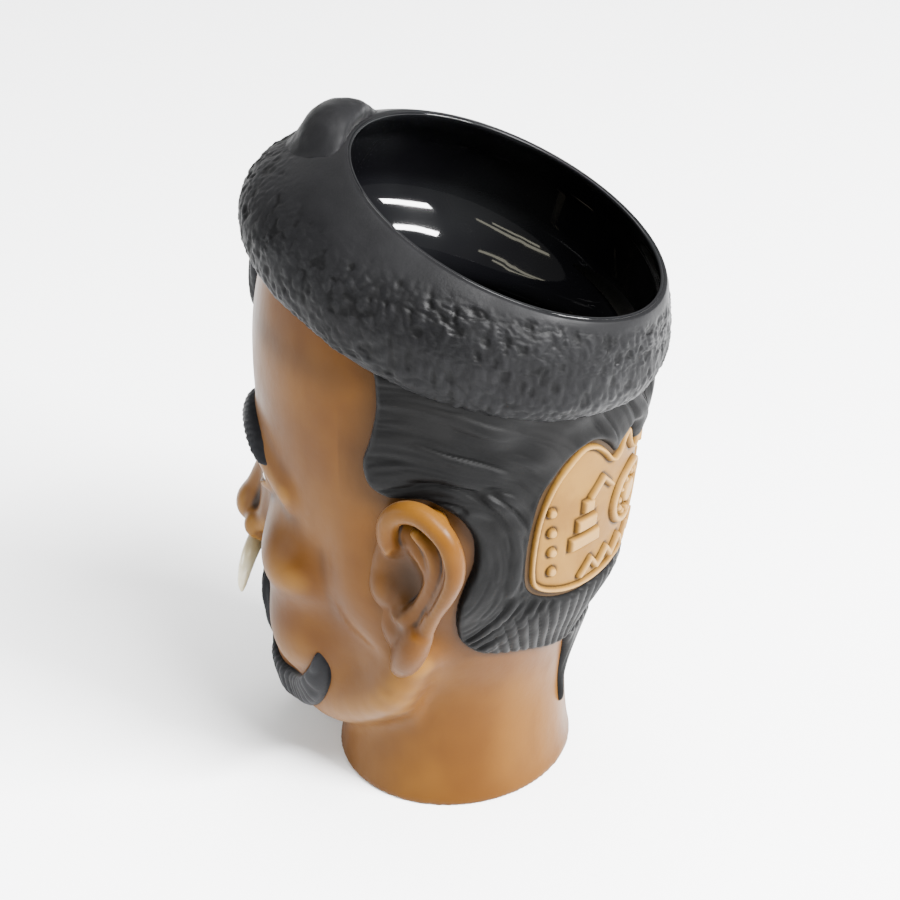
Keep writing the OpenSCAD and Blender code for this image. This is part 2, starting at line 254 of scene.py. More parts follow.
def smooth_path(path, steps=4):
    """More rows on a smooth curve through a path's rows."""
    path = np.array(path, float)
    if len(path) < 3:
        return path
    ends = len(path) - 1
    rows = []
    for k in range(ends):
        before, here, after, last = (path[min(max(k + j, 0), ends)] for j in (-1, 0, 1, 2))
        rows += [through(before, here, after, last, t) for t in np.arange(steps) / steps]
    return np.array(rows + [path[-1]])


def rope_box(path):
    """The box round a rope whose rows are x, y, z, radius."""
    path = smooth_path(path)
    reach = path[:, 3:4]
    return (path[:, :3] - reach).min(0), (path[:, :3] + reach).max(0)


class Field:
    """Distances to a surface on an even grid, negative inside."""

    def __init__(self, low, high, step):
        self.step = step
        self.low = np.array(low, float)
        counts = np.ceil((np.array(high) - self.low) / step).astype(int) + 1
        self.axes = [self.low[k] + step * np.arange(counts[k]) for k in range(3)]
        self.value = np.full(counts, FAR)

    def window(self, low, high, margin):
        """The slices of the grid that hold a box and a margin round it."""
        cuts = []
        for k in range(3):
            first = int(max(0, math.floor((low[k] - margin - self.low[k]) / self.step)))
            last = int(min(len(self.axes[k]), math.ceil((high[k] + margin - self.low[k]) / self.step) + 1))
            cuts.append(slice(first, max(first, last)))
        return tuple(cuts)

    def points(self, cuts=(slice(None),) * 3):
        grids = np.meshgrid(*[axis[cut] for axis, cut in zip(self.axes, cuts)], indexing="ij")
        return np.stack(grids, -1)

    def merge(self, shape, low, high, soft, how):
        """Works a shape into the field inside the box that it reaches."""
        cuts = self.window(low, high, soft + 2)
        if min(cut.stop - cut.start for cut in cuts) > 0:
            self.value[cuts] = how(self.value[cuts], shape(self.points(cuts)), soft)

    def add_ellipsoid(self, centre, radii, soft):
        centre, radii = np.array(centre, float), np.array(radii, float)
        self.merge(lambda p: ellipsoid(p, centre, radii), centre - radii, centre + radii, soft, blend_min)

    def cut_ellipsoid(self, centre, radii, soft):
        centre, radii = np.array(centre, float), np.array(radii, float)
        self.merge(lambda p: -ellipsoid(p, centre, radii), centre - radii, centre + radii, soft, blend_max)

    def add_rope(self, path, soft):
        low, high = rope_box(path)
        self.merge(lambda p: stroke(p, path), low, high, soft, blend_min)

    def cut_rope(self, path, soft):
        low, high = rope_box(path)
        self.merge(lambda p: -stroke(p, path), low, high, soft, blend_max)

    def mirrored(self):
        """The field with its x > 0 half copied to the other side; the first plane is x = 0."""
        whole = Field.__new__(Field)
        whole.step = self.step
        whole.value = np.concatenate([self.value[:0:-1], self.value])
        whole.low = np.array([-self.axes[0][-1], self.low[1], self.low[2]])
        return whole

    def surface(self):
        """Points, quads and triangles of the surface."""
        band = 3 * self.step
        grid = openvdb.FloatGrid(band)
        grid.copyFromArray(np.clip(self.value, -band, band).astype(np.float32))
        points, triangles, quads = grid.convertToPolygons(0.0, 0.0)
        return points * self.step + self.low, [quads[:, ::-1], triangles[:, ::-1]]


# ---------------------------------------------------------------- meshes

def facing_out(points, faces):
    """The same faces, turned over when they look into the solid."""
    volume = 0.0
    for group in faces:
        if len(group) == 0:
            continue
        a, b, c = (points[group[:, k]] for k in range(3))
        volume += (a * np.cross(b, c)).sum()
        if group.shape[1] == 4:
            volume += (a * np.cross(c, points[group[:, 3]])).sum()
    return [group[:, ::-1] for group in faces] if volume < 0 else list(faces)


def mesh_piece(name, points, faces, material, nodes, attributes=None):
    """Makes an object from points in millimetres and lists of quads and triangles."""
    faces = [np.asarray(group, np.int32) for group in faces if len(group)]
    faces = facing_out(np.asarray(points, float), faces)
    sizes = np.concatenate([np.full(len(group), group.shape[1]) for group in faces])
    corners = np.concatenate([group.ravel() for group in faces])
    starts = np.concatenate([[0], np.cumsum(sizes)[:-1]])
    mesh = bpy.data.meshes.new(name)
    mesh.vertices.add(len(points))
    mesh.vertices.foreach_set("co", (np.asarray(points) * MM).astype(np.float32).ravel())
    mesh.loops.add(len(corners))
    mesh.loops.foreach_set("vertex_index", corners.astype(np.int32))
    mesh.polygons.add(len(sizes))
    mesh.polygons.foreach_set("loop_start", starts.astype(np.int32))
    mesh.update(calc_edges=True)
    mesh.polygons.foreach_set("use_smooth", np.ones(len(sizes), bool))
    for key, values in (attributes or {}).items():
        layer = mesh.attributes.new(key, "FLOAT", "POINT")
        layer.data.foreach_set("value", np.asarray(values, np.float32).ravel())
    mesh.materials.append(material)
    piece = bpy.data.objects.new(name, mesh)
    bpy.context.scene.collection.objects.link(piece)
    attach(piece, "root")
    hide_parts(*nodes)


def read_mesh(points, faces):
    """Edges and vertex normals of a mesh given as arrays."""
    edges = []
    normals = np.zeros_like(points)
    for group in faces:
        if len(group) == 0:
            continue
        corners = points[group]
        if group.shape[1] == 4:
            normal = np.cross(corners[:, 2] - corners[:, 0], corners[:, 3] - corners[:, 1])
        else:
            normal = np.cross(corners[:, 1] - corners[:, 0], corners[:, 2] - corners[:, 0])
        for k in range(group.shape[1]):
            for axis in range(3):
                normals[:, axis] += np.bincount(group[:, k], normal[:, axis], len(points))
            edges.append(np.stack([group[:, k], group[:, (k + 1) % group.shape[1]]], 1))
    normals /= np.maximum(np.linalg.norm(normals, axis=1, keepdims=True), 1e-9)
    return np.concatenate(edges), normals


def relax(values, edges, count, rounds):
    """Averages values over neighbouring points."""
    start, end = edges[:, 0], edges[:, 1]
    weight = np.maximum(np.bincount(start, minlength=count) + np.bincount(end, minlength=count), 1)
    for _ in range(rounds):
        columns = []
        for k in range(values.shape[1]):
            total = (np.bincount(start, values[end, k], count) + np.bincount(end, values[start, k], count))
            columns.append(total / weight)
        values = 0.5 * values + 0.5 * np.stack(columns, 1)
    return values


def smoothed(points, faces, rounds):
    """The same mesh with the small steps of the grid taken off."""
    edges, _ = read_mesh(points, faces)
    return relax(points, edges, len(points), rounds)


def hollows(points, faces, rounds, scale, calm=2):
    """How deep each point lies in a recess (towards 1) or stands on a ridge (towards -1)."""
    edges, normals = read_mesh(points, facing_out(points, faces))
    soft = relax(points, edges, len(points), rounds)
    depth = np.clip(((soft - points) * normals).sum(1) / scale, -1, 1)
    return relax(depth[:, None], edges, len(points), calm)[:, 0]


def grid_faces(rows, columns, close_rows=False, close_columns=False):
    """Quads of a grid of points, wrapped round where asked."""
    r = np.arange(rows if close_rows else rows - 1)
    c = np.arange(columns if close_columns else columns - 1)
    r, c = np.meshgrid(r, c, indexing="ij")
    r, c = r.ravel(), c.ravel()
    r2, c2 = (r + 1) % rows, (c + 1) % columns
    return np.stack([r * columns + c, r2 * columns + c, r2 * columns + c2, r * columns + c2], 1)


def closed_tube(rings, start_tip, end_tip):
    """Points and faces of a skin through closed rings of points, with a tip at each end."""
    rows, columns = rings.shape[:2]
    points = np.concatenate([rings.reshape(-1, 3), [start_tip], [end_tip]])
    first = np.arange(columns)
    last = first[::-1] + (rows - 1) * columns
    ends = [np.stack([np.full(columns, tip), ring, np.roll(ring, -1)], 1)
            for tip, ring in ((len(points) - 2, first), (len(points) - 1, last))]
    return points, [grid_faces(rows, columns, close_columns=True)] + ends


def shell(outer, inner, keep):
    """A closed skin from two matching grids of points, over the cells that keep marks."""
    rows, columns = outer.shape[:2]
    count = rows * columns
    faces = grid_faces(rows, columns)[keep.ravel()]
    sides = np.concatenate([np.stack([faces[:, k], faces[:, (k + 1) % 4]], 1) for k in range(4)])
    key = sides[:, 0].astype(np.int64) * count + sides[:, 1]
    twin = sides[:, 1].astype(np.int64) * count + sides[:, 0]
    border = sides[~np.isin(key, twin)]
    walls = np.stack([border[:, 1], border[:, 0], border[:, 0] + count, border[:, 1] + count], 1)
    quads = np.concatenate([faces, faces[:, ::-1] + count, walls])
    points = np.concatenate([outer.reshape(-1, 3), inner.reshape(-1, 3)])
    used, renumbered = np.unique(quads, return_inverse=True)
    return points[used], renumbered.reshape(-1, 4), used % count


# ---------------------------------------------------------------- outlines

def rounded(points, per_side=8):
    """A closed smooth curve through points."""
    points = np.array(points, float)
    t = np.linspace(0, 1, per_side, endpoint=False)[:, None]
    before, after, last = np.roll(points, 1, 0), np.roll(points, -1, 0), np.roll(points, -2, 0)
    return np.concatenate([through(*four, t) for four in zip(before, points, after, last)])


def inside_distance(points, outline):
    """Distance from points to a closed outline, positive inside it."""
    nearest = np.full(points.shape[:-1], FAR)
    inside = np.zeros(points.shape[:-1], bool)
    x, y = points[..., 0], points[..., 1]
    for a, b in zip(outline, np.roll(outline, -1, 0)):
        nearest = np.minimum(nearest, nearest_on_line(points, a, b)[1])
        crosses = (a[1] > y) != (b[1] > y)
        with np.errstate(divide="ignore", invalid="ignore"):
            reach = (b[0] - a[0]) * (y - a[1]) / (b[1] - a[1]) + a[0]
        inside ^= crosses & (x < reach)
    return np.where(inside, nearest, -nearest)


def round_edge(distance, width):
    """Height from 0 to 1 of an edge that is rounded over a width."""
    t = np.clip(distance / width, 0, 1)
    return np.sqrt(1 - (1 - t) ** 2)


# ---------------------------------------------------------------- materials

class Look:
    """A principled material and short ways to feed it."""

    def __init__(self, name, roughness=0.5, coat=0.0, coat_roughness=0.1, specular=0.5, ior=1.5,
                 sheen=0.0, sheen_roughness=0.35):
        self.material = bpy.data.materials.new(name)
        self.material.use_nodes = True
        self.nodes = self.material.node_tree.nodes
        self.links = self.material.node_tree.links
        self.shader = self.nodes["Principled BSDF"]
        finish = {"Roughness": roughness, "Coat Weight": coat, "Coat Roughness": coat_roughness,
                  "Specular IOR Level": specular, "IOR": ior, "Sheen Weight": sheen,
                  "Sheen Roughness": sheen_roughness}
        for socket, number in finish.items():
            self.shader.inputs[socket].default_value = number
        self.place = self.nodes.new("ShaderNodeTexCoord").outputs["Object"]

    def noise(self, scale, detail=3.0, roughness=0.5, stretch=(1, 1, 1)):
        mapping = self.nodes.new("ShaderNodeMapping")
        mapping.inputs["Scale"].default_value = stretch
        self.links.new(self.place, mapping.inputs["Vector"])
        texture = self.nodes.new("ShaderNodeTexNoise")
        texture.inputs["Scale"].default_value = scale
        texture.inputs["Detail"].default_value = detail
        texture.inputs["Roughness"].default_value = roughness
        self.links.new(mapping.outputs["Vector"], texture.inputs["Vector"])
        return texture.outputs["Fac"]

    def value(self, name):
        node = self.nodes.new("ShaderNodeAttribute")
        node.attribute_name = name
        return node.outputs["Fac"]

    def remap(self, source, low, high, to_low=0.0, to_high=1.0):
        node = self.nodes.new("ShaderNodeMapRange")
        node.interpolation_type = "SMOOTHSTEP"
        self.links.new(source, node.inputs["Value"])
        for socket, number in zip(("From Min", "From Max", "To Min", "To Max"), (low, high, to_low, to_high)):
            node.inputs[socket].default_value = number
        return node.outputs["Result"]

    def combine(self, how, a, b):
        node = self.nodes.new("ShaderNodeMath")
        node.operation = how
        for socket, item in zip(node.inputs, (a, b)):
            if isinstance(item, (int, float)):
                socket.default_value = item
            else:
                self.links.new(item, socket)
        return node.outputs["Value"]

    def mix(self, factor, a, b):
        node = self.nodes.new("ShaderNodeMix")
        node.data_type = "RGBA"
        self.links.new(factor, node.inputs["Factor"])
        for name, item in (("A", a), ("B", b)):
            socket = [s for s in node.inputs if s.name == name and s.type == "RGBA"][0]
            if isinstance(item, tuple):
                socket.default_value = (*item, 1)
            else:
                self.links.new(item, socket)
        return [s for s in node.outputs if s.type == "RGBA"][0]

    def color(self, source):
        self.links.new(source, self.shader.inputs["Base Color"])

    def rough(self, source):
        self.links.new(source, self.shader.inputs["Roughness"])

    def bump(self, source, strength, distance):
        node = self.nodes.new("ShaderNodeBump")
        node.inputs["Strength"].default_value = strength
        node.inputs["Distance"].default_value = distance
        self.links.new(source, node.inputs["Height"])
        self.links.new(node.outputs["Normal"], self.shader.inputs["Normal"])


def skin_look():
    """Golden brown painted ceramic with a dark wash rubbed into its recesses, and painted shade in the same
    dark brown where the 'shade' values ask for it.
    """
    look = Look("skin", roughness=0.42, coat=0.02, coat_roughness=0.25, specular=0.25, ior=1.2,
                sheen=0.013, sheen_roughness=0.4)
    cloud = look.noise(26, 3, 0.55)
    base = look.mix(look.remap(cloud, 0.35, 0.68), (0.048, 0.0172, 0.0017), (0.074, 0.0296, 0.0032))
    streak = look.noise(90, 4, 0.6, (1, 1, 0.35))
    base = look.mix(look.remap(streak, 0.5, 0.75, 0, 0.35), base, (0.047, 0.0170, 0.0024))
    ridge = look.remap(look.value("hollow"), -0.12, -0.7)
    base = look.mix(look.combine("MULTIPLY", ridge, 0.42), base, (0.150, 0.0720, 0.0110))
    red = look.noise(14, 2)
    base = look.mix(look.remap(red, 0.52, 0.72, 0, 0.4), base, (0.070, 0.0212, 0.0040))
    wash_and_shade = look.combine("MULTIPLY", look.remap(look.value("hollow"), 0.1, 0.75),
                        look.remap(streak, 0.2, 0.6, 0.75, 1))
    # painted shade: the dark of the wash is also laid where the 'shade' values mark shade behind the ears,
    # under the roll and along the hair
    wash_and_shade = look.combine("MAXIMUM", wash_and_shade, look.value("shade"))
    base = look.mix(wash_and_shade, base, (0.0105, 0.0048, 0.0018))
    look.color(base)
    look.rough(look.remap(streak, 0.3, 0.8, 0.34, 0.5))
    look.bump(look.noise(420, 4, 0.6), 0.12, 0.0004)
    return look.material


def slate_look(name, light, dark, roughness=0.55, sheen=0.02):
    """Slate grey painted ceramic, paler where it is rubbed on the ridges."""
    look = Look(name, roughness=roughness, specular=0.3, ior=1.2, sheen=sheen)
    cloud = look.noise(40, 3, 0.6)
    base = look.mix(look.remap(cloud, 0.35, 0.7), dark, light)
    ridge = look.remap(look.value("hollow"), -0.05, -0.6, 0, 0.5)
    base = look.mix(ridge, base, tuple(1.7 * part for part in light))
    groove = look.remap(look.value("hollow"), 0.05, 0.6, 0, 0.75)
    base = look.mix(groove, base, tuple(0.3 * part for part in dark))
    look.color(base)
    look.rough(look.remap(look.noise(70, 3), 0.3, 0.7, roughness - 0.08, roughness + 0.1))
    look.bump(look.noise(900, 5, 0.65), 0.22, 0.0003)
    return look.material


def panel_look():
    """Paler tan with brown wash in the lines of the carving."""
    look = Look("panel", roughness=0.5, specular=0.25, ior=1.2)
    cloud = look.noise(60, 4, 0.6)
    base = look.mix(look.remap(cloud, 0.3, 0.7), (0.092, 0.0435, 0.0074), (0.126, 0.0640, 0.0114))
    base = look.mix(look.remap(look.value("hollow"), -0.1, -0.6, 0, 0.5), base, (0.27, 0.160, 0.055))
    base = look.mix(look.remap(look.value("shade"), 0.1, 1.0, 0, 0.9), base, (0.012, 0.0075, 0.0045))
    look.color(base)
    look.bump(look.noise(500, 4, 0.6), 0.15, 0.0003)
    return look.material


def black_glaze_look():
    """Black gloss glaze, like dark water."""
    look = Look("black_glaze", roughness=0.05, coat=1.0, coat_roughness=0.02, specular=0.05)
    look.shader.inputs["Coat IOR"].default_value = 1.17
    base = look.mix(look.remap(look.noise(30, 2), 0.4, 0.7), (0.0016, 0.0016, 0.002), (0.004, 0.0042, 0.0045))
    look.color(base)
    look.rough(look.remap(look.noise(55, 2), 0.3, 0.7, 0.04, 0.08))
    look.bump(look.noise(38, 1), 0.003, 0.001)
    return look.material


def ivory_look():
    """Cream glaze, brown where it meets the nose."""
    look = Look("ivory", roughness=0.3, coat=0.5, coat_roughness=0.08)
    cloud = look.noise(110, 4, 0.6, (1, 1, 0.4))
    base = look.mix(look.remap(cloud, 0.35, 0.7), (0.30, 0.25, 0.14), (0.42, 0.38, 0.26))
    base = look.mix(look.value("shade"), base, (0.10, 0.06, 0.025))
    look.color(base)
    look.bump(look.noise(300, 3), 0.1, 0.0003)
    return look.material


def eye_look():
    """White of the eye, brown iris with a dark ring, and pupil."""
    look = Look("eye_glaze", roughness=0.22, coat=0.25, coat_roughness=0.06)
    iris = look.value("iris")
    white = look.mix(look.remap(look.noise(150, 3), 0.4, 0.7), (0.30, 0.26, 0.19), (0.38, 0.35, 0.28))
    base = look.mix(look.remap(iris, 0.42, 0.5), (0.06, 0.03, 0.015), white)
    ring = look.combine("MULTIPLY", look.remap(iris, 0.34, 0.42), look.remap(iris, 0.52, 0.44))
    base = look.mix(ring, base, (0.012, 0.008, 0.006))
    base = look.mix(look.remap(iris, 0.2, 0.16), base, (0.004, 0.004, 0.004))
    look.color(base)
    return look.material


SKIN = skin_look()
ROLL_GREY = slate_look("roll_grey", (0.0041, 0.0041, 0.0045), (0.0023, 0.0023, 0.0026), 0.48, 0.05)
COMBED_GREY = slate_look("combed_grey", (0.0031, 0.0030, 0.0030), (0.0016, 0.0016, 0.0017), 0.52, 0.008)
DARK_HAIR = slate_look("dark_hair", (0.0060, 0.0061, 0.0070), (0.0034, 0.0034, 0.0040), 0.55)
PANEL = panel_look()
BLACK_GLAZE = black_glaze_look()
IVORY = ivory_look()
EYE = eye_look()


# ---------------------------------------------------------------- the vessel inside

TILT_ALONG = np.array([0, math.cos(RIM_TILT), -math.sin(RIM_TILT)])   # down the slope, to the back
TILT_UP = np.array([0, math.sin(RIM_TILT), math.cos(RIM_TILT)])       # square to the rim


def rim_point(angle, half_width, half_length, lift=0.0):
    """A point of an oval on the rim's plane; the angle is 0 at the front."""
    angle = np.asarray(angle)[..., None]
    return (RIM + np.array([1, 0, 0]) * half_width * np.sin(angle)
            - TILT_ALONG * half_length * np.cos(angle) + TILT_UP * lift)


def vessel_radius(angle, z):
    """The inside of the wall, with room behind the chin."""
    skull = skull_radius(angle, z, -WALL, -FACE_WALL)
    row = [column(JAW_CURVE, z, k) for k in (1, 2)]
    chin = egg_radius(np.sin(angle), np.cos(angle), row[0] - WALL, row[1] - FACE_WALL, 2)
    chin = chin * step_between(CHIN + 6, CHIN + 20, z)
    return blend_max(skull, chin, 5)


WALL_TOP = 104.0       # above this height the wall leans over to the rim
WALL_ROWS = 70         # rows of points below that height, and above it
LEAN_ROWS = 60
FLOOR_ROUND = 9.0      # height of the rounding between floor and wall
CLAY_GAP = 0.35        # the glaze reaches this far into the clay
LEDGE = 8.0            # how far the soft ledge under the rim stands in
LINER_COLUMNS = 240


def vessel_wall(angles):
    """Rows of points up the inside wall, from above the floor to the rim, one column to an angle."""
    low_z = np.linspace(FLOOR_THICK + FLOOR_ROUND, WALL_TOP, WALL_ROWS)
    rows = []
    for z in low_z:
        radius = vessel_radius(angles, z)
        row = [radius * np.sin(angles), -radius * np.cos(angles), np.full_like(angles, z)]
        rows.append(np.stack(row, -1))
    start = rows[-1]
    leave = (rows[-1] - rows[-2]) / (low_z[-1] - low_z[-2])
    end = rim_point(angles, MOUTH_HALF_WIDTH, MOUTH_HALF_LENGTH)
    span = np.linalg.norm(end - start, axis=-1, keepdims=True)
    inward = rim_point(angles, 1, 1) - RIM
    arrive = TILT_UP - 0.25 * inward
    for t in np.linspace(0, 1, LEAN_ROWS + 1)[1:]:
        rows.append(hermite(start, leave * span, end, arrive * span, t))
    wall = np.stack(rows)
    # the wall bellies out under the lip, then comes in to the soft ledge, which fades out lower down
    depth = end[..., 2] - wall[..., 2]
    out = (3.4 + 1.6 * np.cos(angles)) * step_between(0, 9, depth)
    ledge = LEDGE * step_between(WALL_TOP, WALL_TOP + 18, wall[..., 2])
    push = out - (out + ledge) * step_between(19.5, 39.5, depth)
    wall[..., 0] += push * np.sin(angles)
    wall[..., 1] -= push * np.cos(angles)
    return wall


def vessel_table():
    """The inside wall's radius by angle and height, for cutting the hollow out of the head."""
    angles = np.linspace(-math.pi, math.pi, 181)
    rows = vessel_wall(angles)
    rows = np.concatenate([rows, rows[-1:] + TILT_UP * 20])
    heights = np.arange(FLOOR_THICK + FLOOR_ROUND, 190, 1.0)
    table = np.zeros((len(angles), len(heights)))
    spots = np.stack([[np.interp(heights, rows[:, c, 2], rows[:, c, k]) for c in range(len(angles))]
                      for k in (0, 1)], -1)
    for h in range(len(heights)):
        x, y = spots[:, h, 0], spots[:, h, 1]
        table[:, h] = np.interp(angles, np.arctan2(x, -y), np.hypot(x, y), period=2 * math.pi)
    return angles, heights, table


VESSEL = vessel_table()


def vessel_distance(points):
    """Sideways distance to the inside wall, negative in the hollow."""
    angles, heights, table = VESSEL
    x, y, z = points[..., 0], points[..., 1], points[..., 2]
    a = (np.arctan2(x, -y) - angles[0]) / (angles[1] - angles[0])
    h = np.clip(z - heights[0], 0, len(heights) - 1.001)
    a = np.clip(a, 0, len(angles) - 1.001)
    i, j = a.astype(int), h.astype(int)
    u, v = a - i, h - j
    radius = (table[i, j] * (1 - u) * (1 - v) + table[i + 1, j] * u * (1 - v)
              + table[i, j + 1] * (1 - u) * v + table[i + 1, j + 1] * u * v)
    return blend_max(np.hypot(x, y) - radius, FLOOR_THICK - z, FLOOR_ROUND)


def make_liner():
    """The black glaze: up the inside of the wall and over the lip, then back down against the clay."""
    angles = np.linspace(0, 2 * math.pi, LINER_COLUMNS, endpoint=False)
    wall = vessel_wall(angles)
    foot = wall[0]
    floor_rows = []
    for turn in np.linspace(0.02, 1, 16)[:-1] * math.pi / 2:
        share = math.sin(turn)
        drop = FLOOR_ROUND * (1 - (1 - math.cos(turn)) ** 1.2)
        floor_rows.append(np.stack([foot[:, 0] * share, foot[:, 1] * share,
                                    np.full_like(angles, FLOOR_THICK + FLOOR_ROUND - drop)], -1))
    outer = np.concatenate([np.stack(floor_rows), wall])
    across = np.roll(outer, -1, 1) - np.roll(outer, 1, 1)
    up = np.gradient(outer, axis=0)
    inward = np.cross(up, across)
    inward /= np.maximum(np.linalg.norm(inward, axis=-1, keepdims=True), 1e-9)
    inner = outer + GLAZE * inward
    inner[-1] = inner[-2] + (outer[-1] - outer[-2])
    lip = 0.5 * (inner[-1] + outer[-1]) + TILT_UP * 0.35
    outer = outer - CLAY_GAP * inward
    rows = np.concatenate([inner, lip[None], outer[::-1]])
    points, faces = closed_tube(rows, rows[0].mean(0), rows[-1].mean(0))
    mesh_piece("glaze_lining", points, faces, BLACK_GLAZE, ["glaze_liner"])


# ---------------------------------------------------------------- the head

BROW = 95.0
EYE_Z = 87.5
EYE_X = 18.4
EYE_RADIUS = 10.6
EYE_CENTRE = (EYE_X, -32.6, EYE_Z)
EYE_BACK = -36.8       # each eye is cut off flat here
NOSE_BASE = 57.0
SEAT = 9.0             # how far below the rim's plane the head's wall stops
HEAD_STEP = 0.82       # spacing of the grid for the head, and for the small locks on the face
LOCK_STEP = 0.45


def skull_distance(points):
    """Sideways distance to the skull and neck."""
    x, y, z = points[..., 0], points[..., 1], points[..., 2]
    return np.hypot(x, y) - skull_radius(np.arctan2(x, -y), z)


def jaw_distance(points):
    """Distance to the jaw, which hangs over the front of the neck."""
    x, y, z = points[..., 0], points[..., 1], points[..., 2]
    angle = np.arctan2(x, -y)
    side = np.hypot(x, y) - egg_radius(np.sin(angle), np.cos(angle), column(JAW_CURVE, z, 1),
                                       column(JAW_CURVE, z, 2), 6)
    return blend_max(blend_max(side, CHIN - z, 7), (z - 72) * 0.6, 10)


def almond(points, half_width=9.3, rise=4.2, fall=3.4):
    """Distance to the opening between the lids, seen from the front; negative in it."""
    x = points[..., 0] - EYE_X
    z = points[..., 2] - EYE_Z - 0.05 * x
    upper = (half_width**2 + rise**2) / (2 * rise)
    lower = (half_width**2 + fall**2) / (2 * fall)
    return np.maximum(np.hypot(x, z - rise + upper) - upper, np.hypot(x, z + fall - lower) - lower)


def shape_face(field):
    """Builds the calm, general face on a field that holds the plain head.

    Ellipsoids are a centre and radii, ropes are rows of x, y, z, radius; last comes the softness.
    """
    # temples, cheekbones and cheeks
    field.add_ellipsoid((25.5, -28.0, 68), (15.5, 12.2, 10.5), 9)
    field.add_ellipsoid((23.0, -27.0, 47), (15, 13.5, 16), 9)
    # ridge over the eyes
    field.add_rope([(4, -44.4, 96.5, 4.6), (16, -43.0, 98.5, 4.6), (27, -37.2, 96.5, 4.2),
                    (34, -29, 91, 3.6)], 5)
    # sockets
    field.cut_ellipsoid((EYE_X, -49.5, EYE_Z - 0.8), (12.5, 9.6, 8.2), 5)
    field.cut_ellipsoid((8.5, -51.0, EYE_Z + 0.5), (4.4, 6.5, 6), 4)
    # bridge, tip and wings of the nose
    field.add_rope([(0, -43.2, 95, 4.4), (0, -46.4, 86, 4.0), (0, -50.4, 74, 4.6),
                    (0, -54.0, 64.2, 5.6)], 4.5)
    field.add_rope([(4.5, -43.5, 80, 4.2), (8.5, -45.2, 65, 5.2)], 6)
    field.add_ellipsoid((0, -54.2, 62.6), (6.6, 6.4, 5.4), 3)
    field.add_ellipsoid((8.4, -48.9, 60.8), (4.6, 6.4, 4.7), 2.4)
    field.add_rope([(0, -54.5, 58.8, 2.2), (0, -50, 56.2, 2.2)], 2)
    field.cut_ellipsoid((4.6, -51.6, 56.0), (2.3, 3.6, 2.2), 1.2)
    field.cut_rope([(13.4, -45.4, 63.5, 0.9), (13.0, -46.6, 59, 0.9)], 1.8)
    # the mound of the mouth, and its soft folds
    field.add_ellipsoid((0, -36.5, 44.5), (21, 12.2, 15), 7)
    field.cut_rope([(12.5, -49.5, 59, 0.8), (17.2, -47.6, 51, 1.0), (20.4, -45.4, 43, 0.5)], 5)
    field.cut_rope([(0, -52.2, 55.2, 1.3), (0, -51.3, 47.6, 1.5)], 2.2)
    # lips
    field.add_rope([(0, -47.9, 43.9, 2.7), (4.6, -47.6, 44.7, 2.7), (10.5, -45.2, 43.2, 2.1),
                    (17, -41.4, 41.3, 1.1)], 1.3)
    field.add_rope([(0, -47.6, 38.2, 3.4), (6.5, -46.6, 38.4, 3.1), (12.5, -43.8, 39.6, 2.1),
                    (17, -41.2, 41, 1.0)], 1.4)
    field.cut_rope([(0, -51.6, 41.2, 0.55), (5, -51.0, 41.6, 0.55), (11, -47.6, 41.1, 0.5),
                    (17.8, -42.6, 41.2, 0.5)], 1.1)
    field.cut_ellipsoid((19.2, -42.6, 41.2), (1.5, 2.0, 1.8), 2.4)
    # chin
    field.add_ellipsoid((0, -37.8, 23.5), (13.5, 11.5, 10.0), 7)
    field.cut_rope([(0, -51.0, 32.3, 2.4), (6, -49.2, 32.6, 1.8)], 4)
    # edge of the jaw
    field.add_rope([(14, -34, 19, 6), (28, -19.5, 27, 7), (37, -4, 38, 6.4), (39.2, 3, 50, 5)], 9)
    # the cheek runs up on to the front of the ear, and clears the bowl of the ear
    field.add_ellipsoid((40.5, -4.5, 74), (4.8, 9.5, 17), 6)
    field.cut_ellipsoid((50.6, 5.4, 78.6), (7.2, 7.2, 10.4), 1.5)
    # lids: a skin over each eyeball, opened to show the eye
    centre = np.array(EYE_CENTRE)

    def lids(points):
        ball_skin = np.linalg.norm(points - centre, axis=-1) - (EYE_RADIUS + 1.35)
        ball_skin = blend_max(ball_skin, -almond(points), 0.7)
        band = np.maximum(almond(points, half_width=12.6, rise=7.6, fall=6.4), points[..., 1] + 34)
        return blend_max(ball_skin, band, 2.5)

    reach = EYE_RADIUS + 3
    field.merge(lids, centre - reach, centre + reach, 1.5, blend_min)

    def opening(points):
        gap = np.maximum(almond(points), points[..., 1] + 36)
        return -np.maximum(gap, -(np.linalg.norm(points - centre, axis=-1) - EYE_RADIUS + 0.8))

    field.merge(opening, centre - reach - 4, centre + reach + 4, 0.5, blend_max)
    # crease over the upper lid
    field.cut_rope([(10, -43.6, 92.2, 0.4), (15, -44.8, 95.0, 0.5), (21, -43.8, 95.2, 0.5),
                    (27.6, -39.2, 91.6, 0.3)], 1.2)


def face_field(low, high, step):
    """The skull and jaw with the face on them, not yet hollow."""
    field = Field(low, high, step)
    points = field.points()
    field.value = blend_min(skull_distance(points), jaw_distance(points), 6)
    shape_face(field)
    return field


def hollow_out(field):
    """Flattens the foot, cuts the top off under the roll and opens the vessel inside."""
    points = field.points()
    z = points[..., 2]
    field.value = blend_max(field.value, -z, 0.9)
    field.value = np.maximum(field.value, (points - RIM) @ TILT_UP + SEAT)
    field.value = np.maximum(field.value, z - HEAD_TOP)
    field.value = np.maximum(field.value, CLAY_GAP - vessel_distance(points))


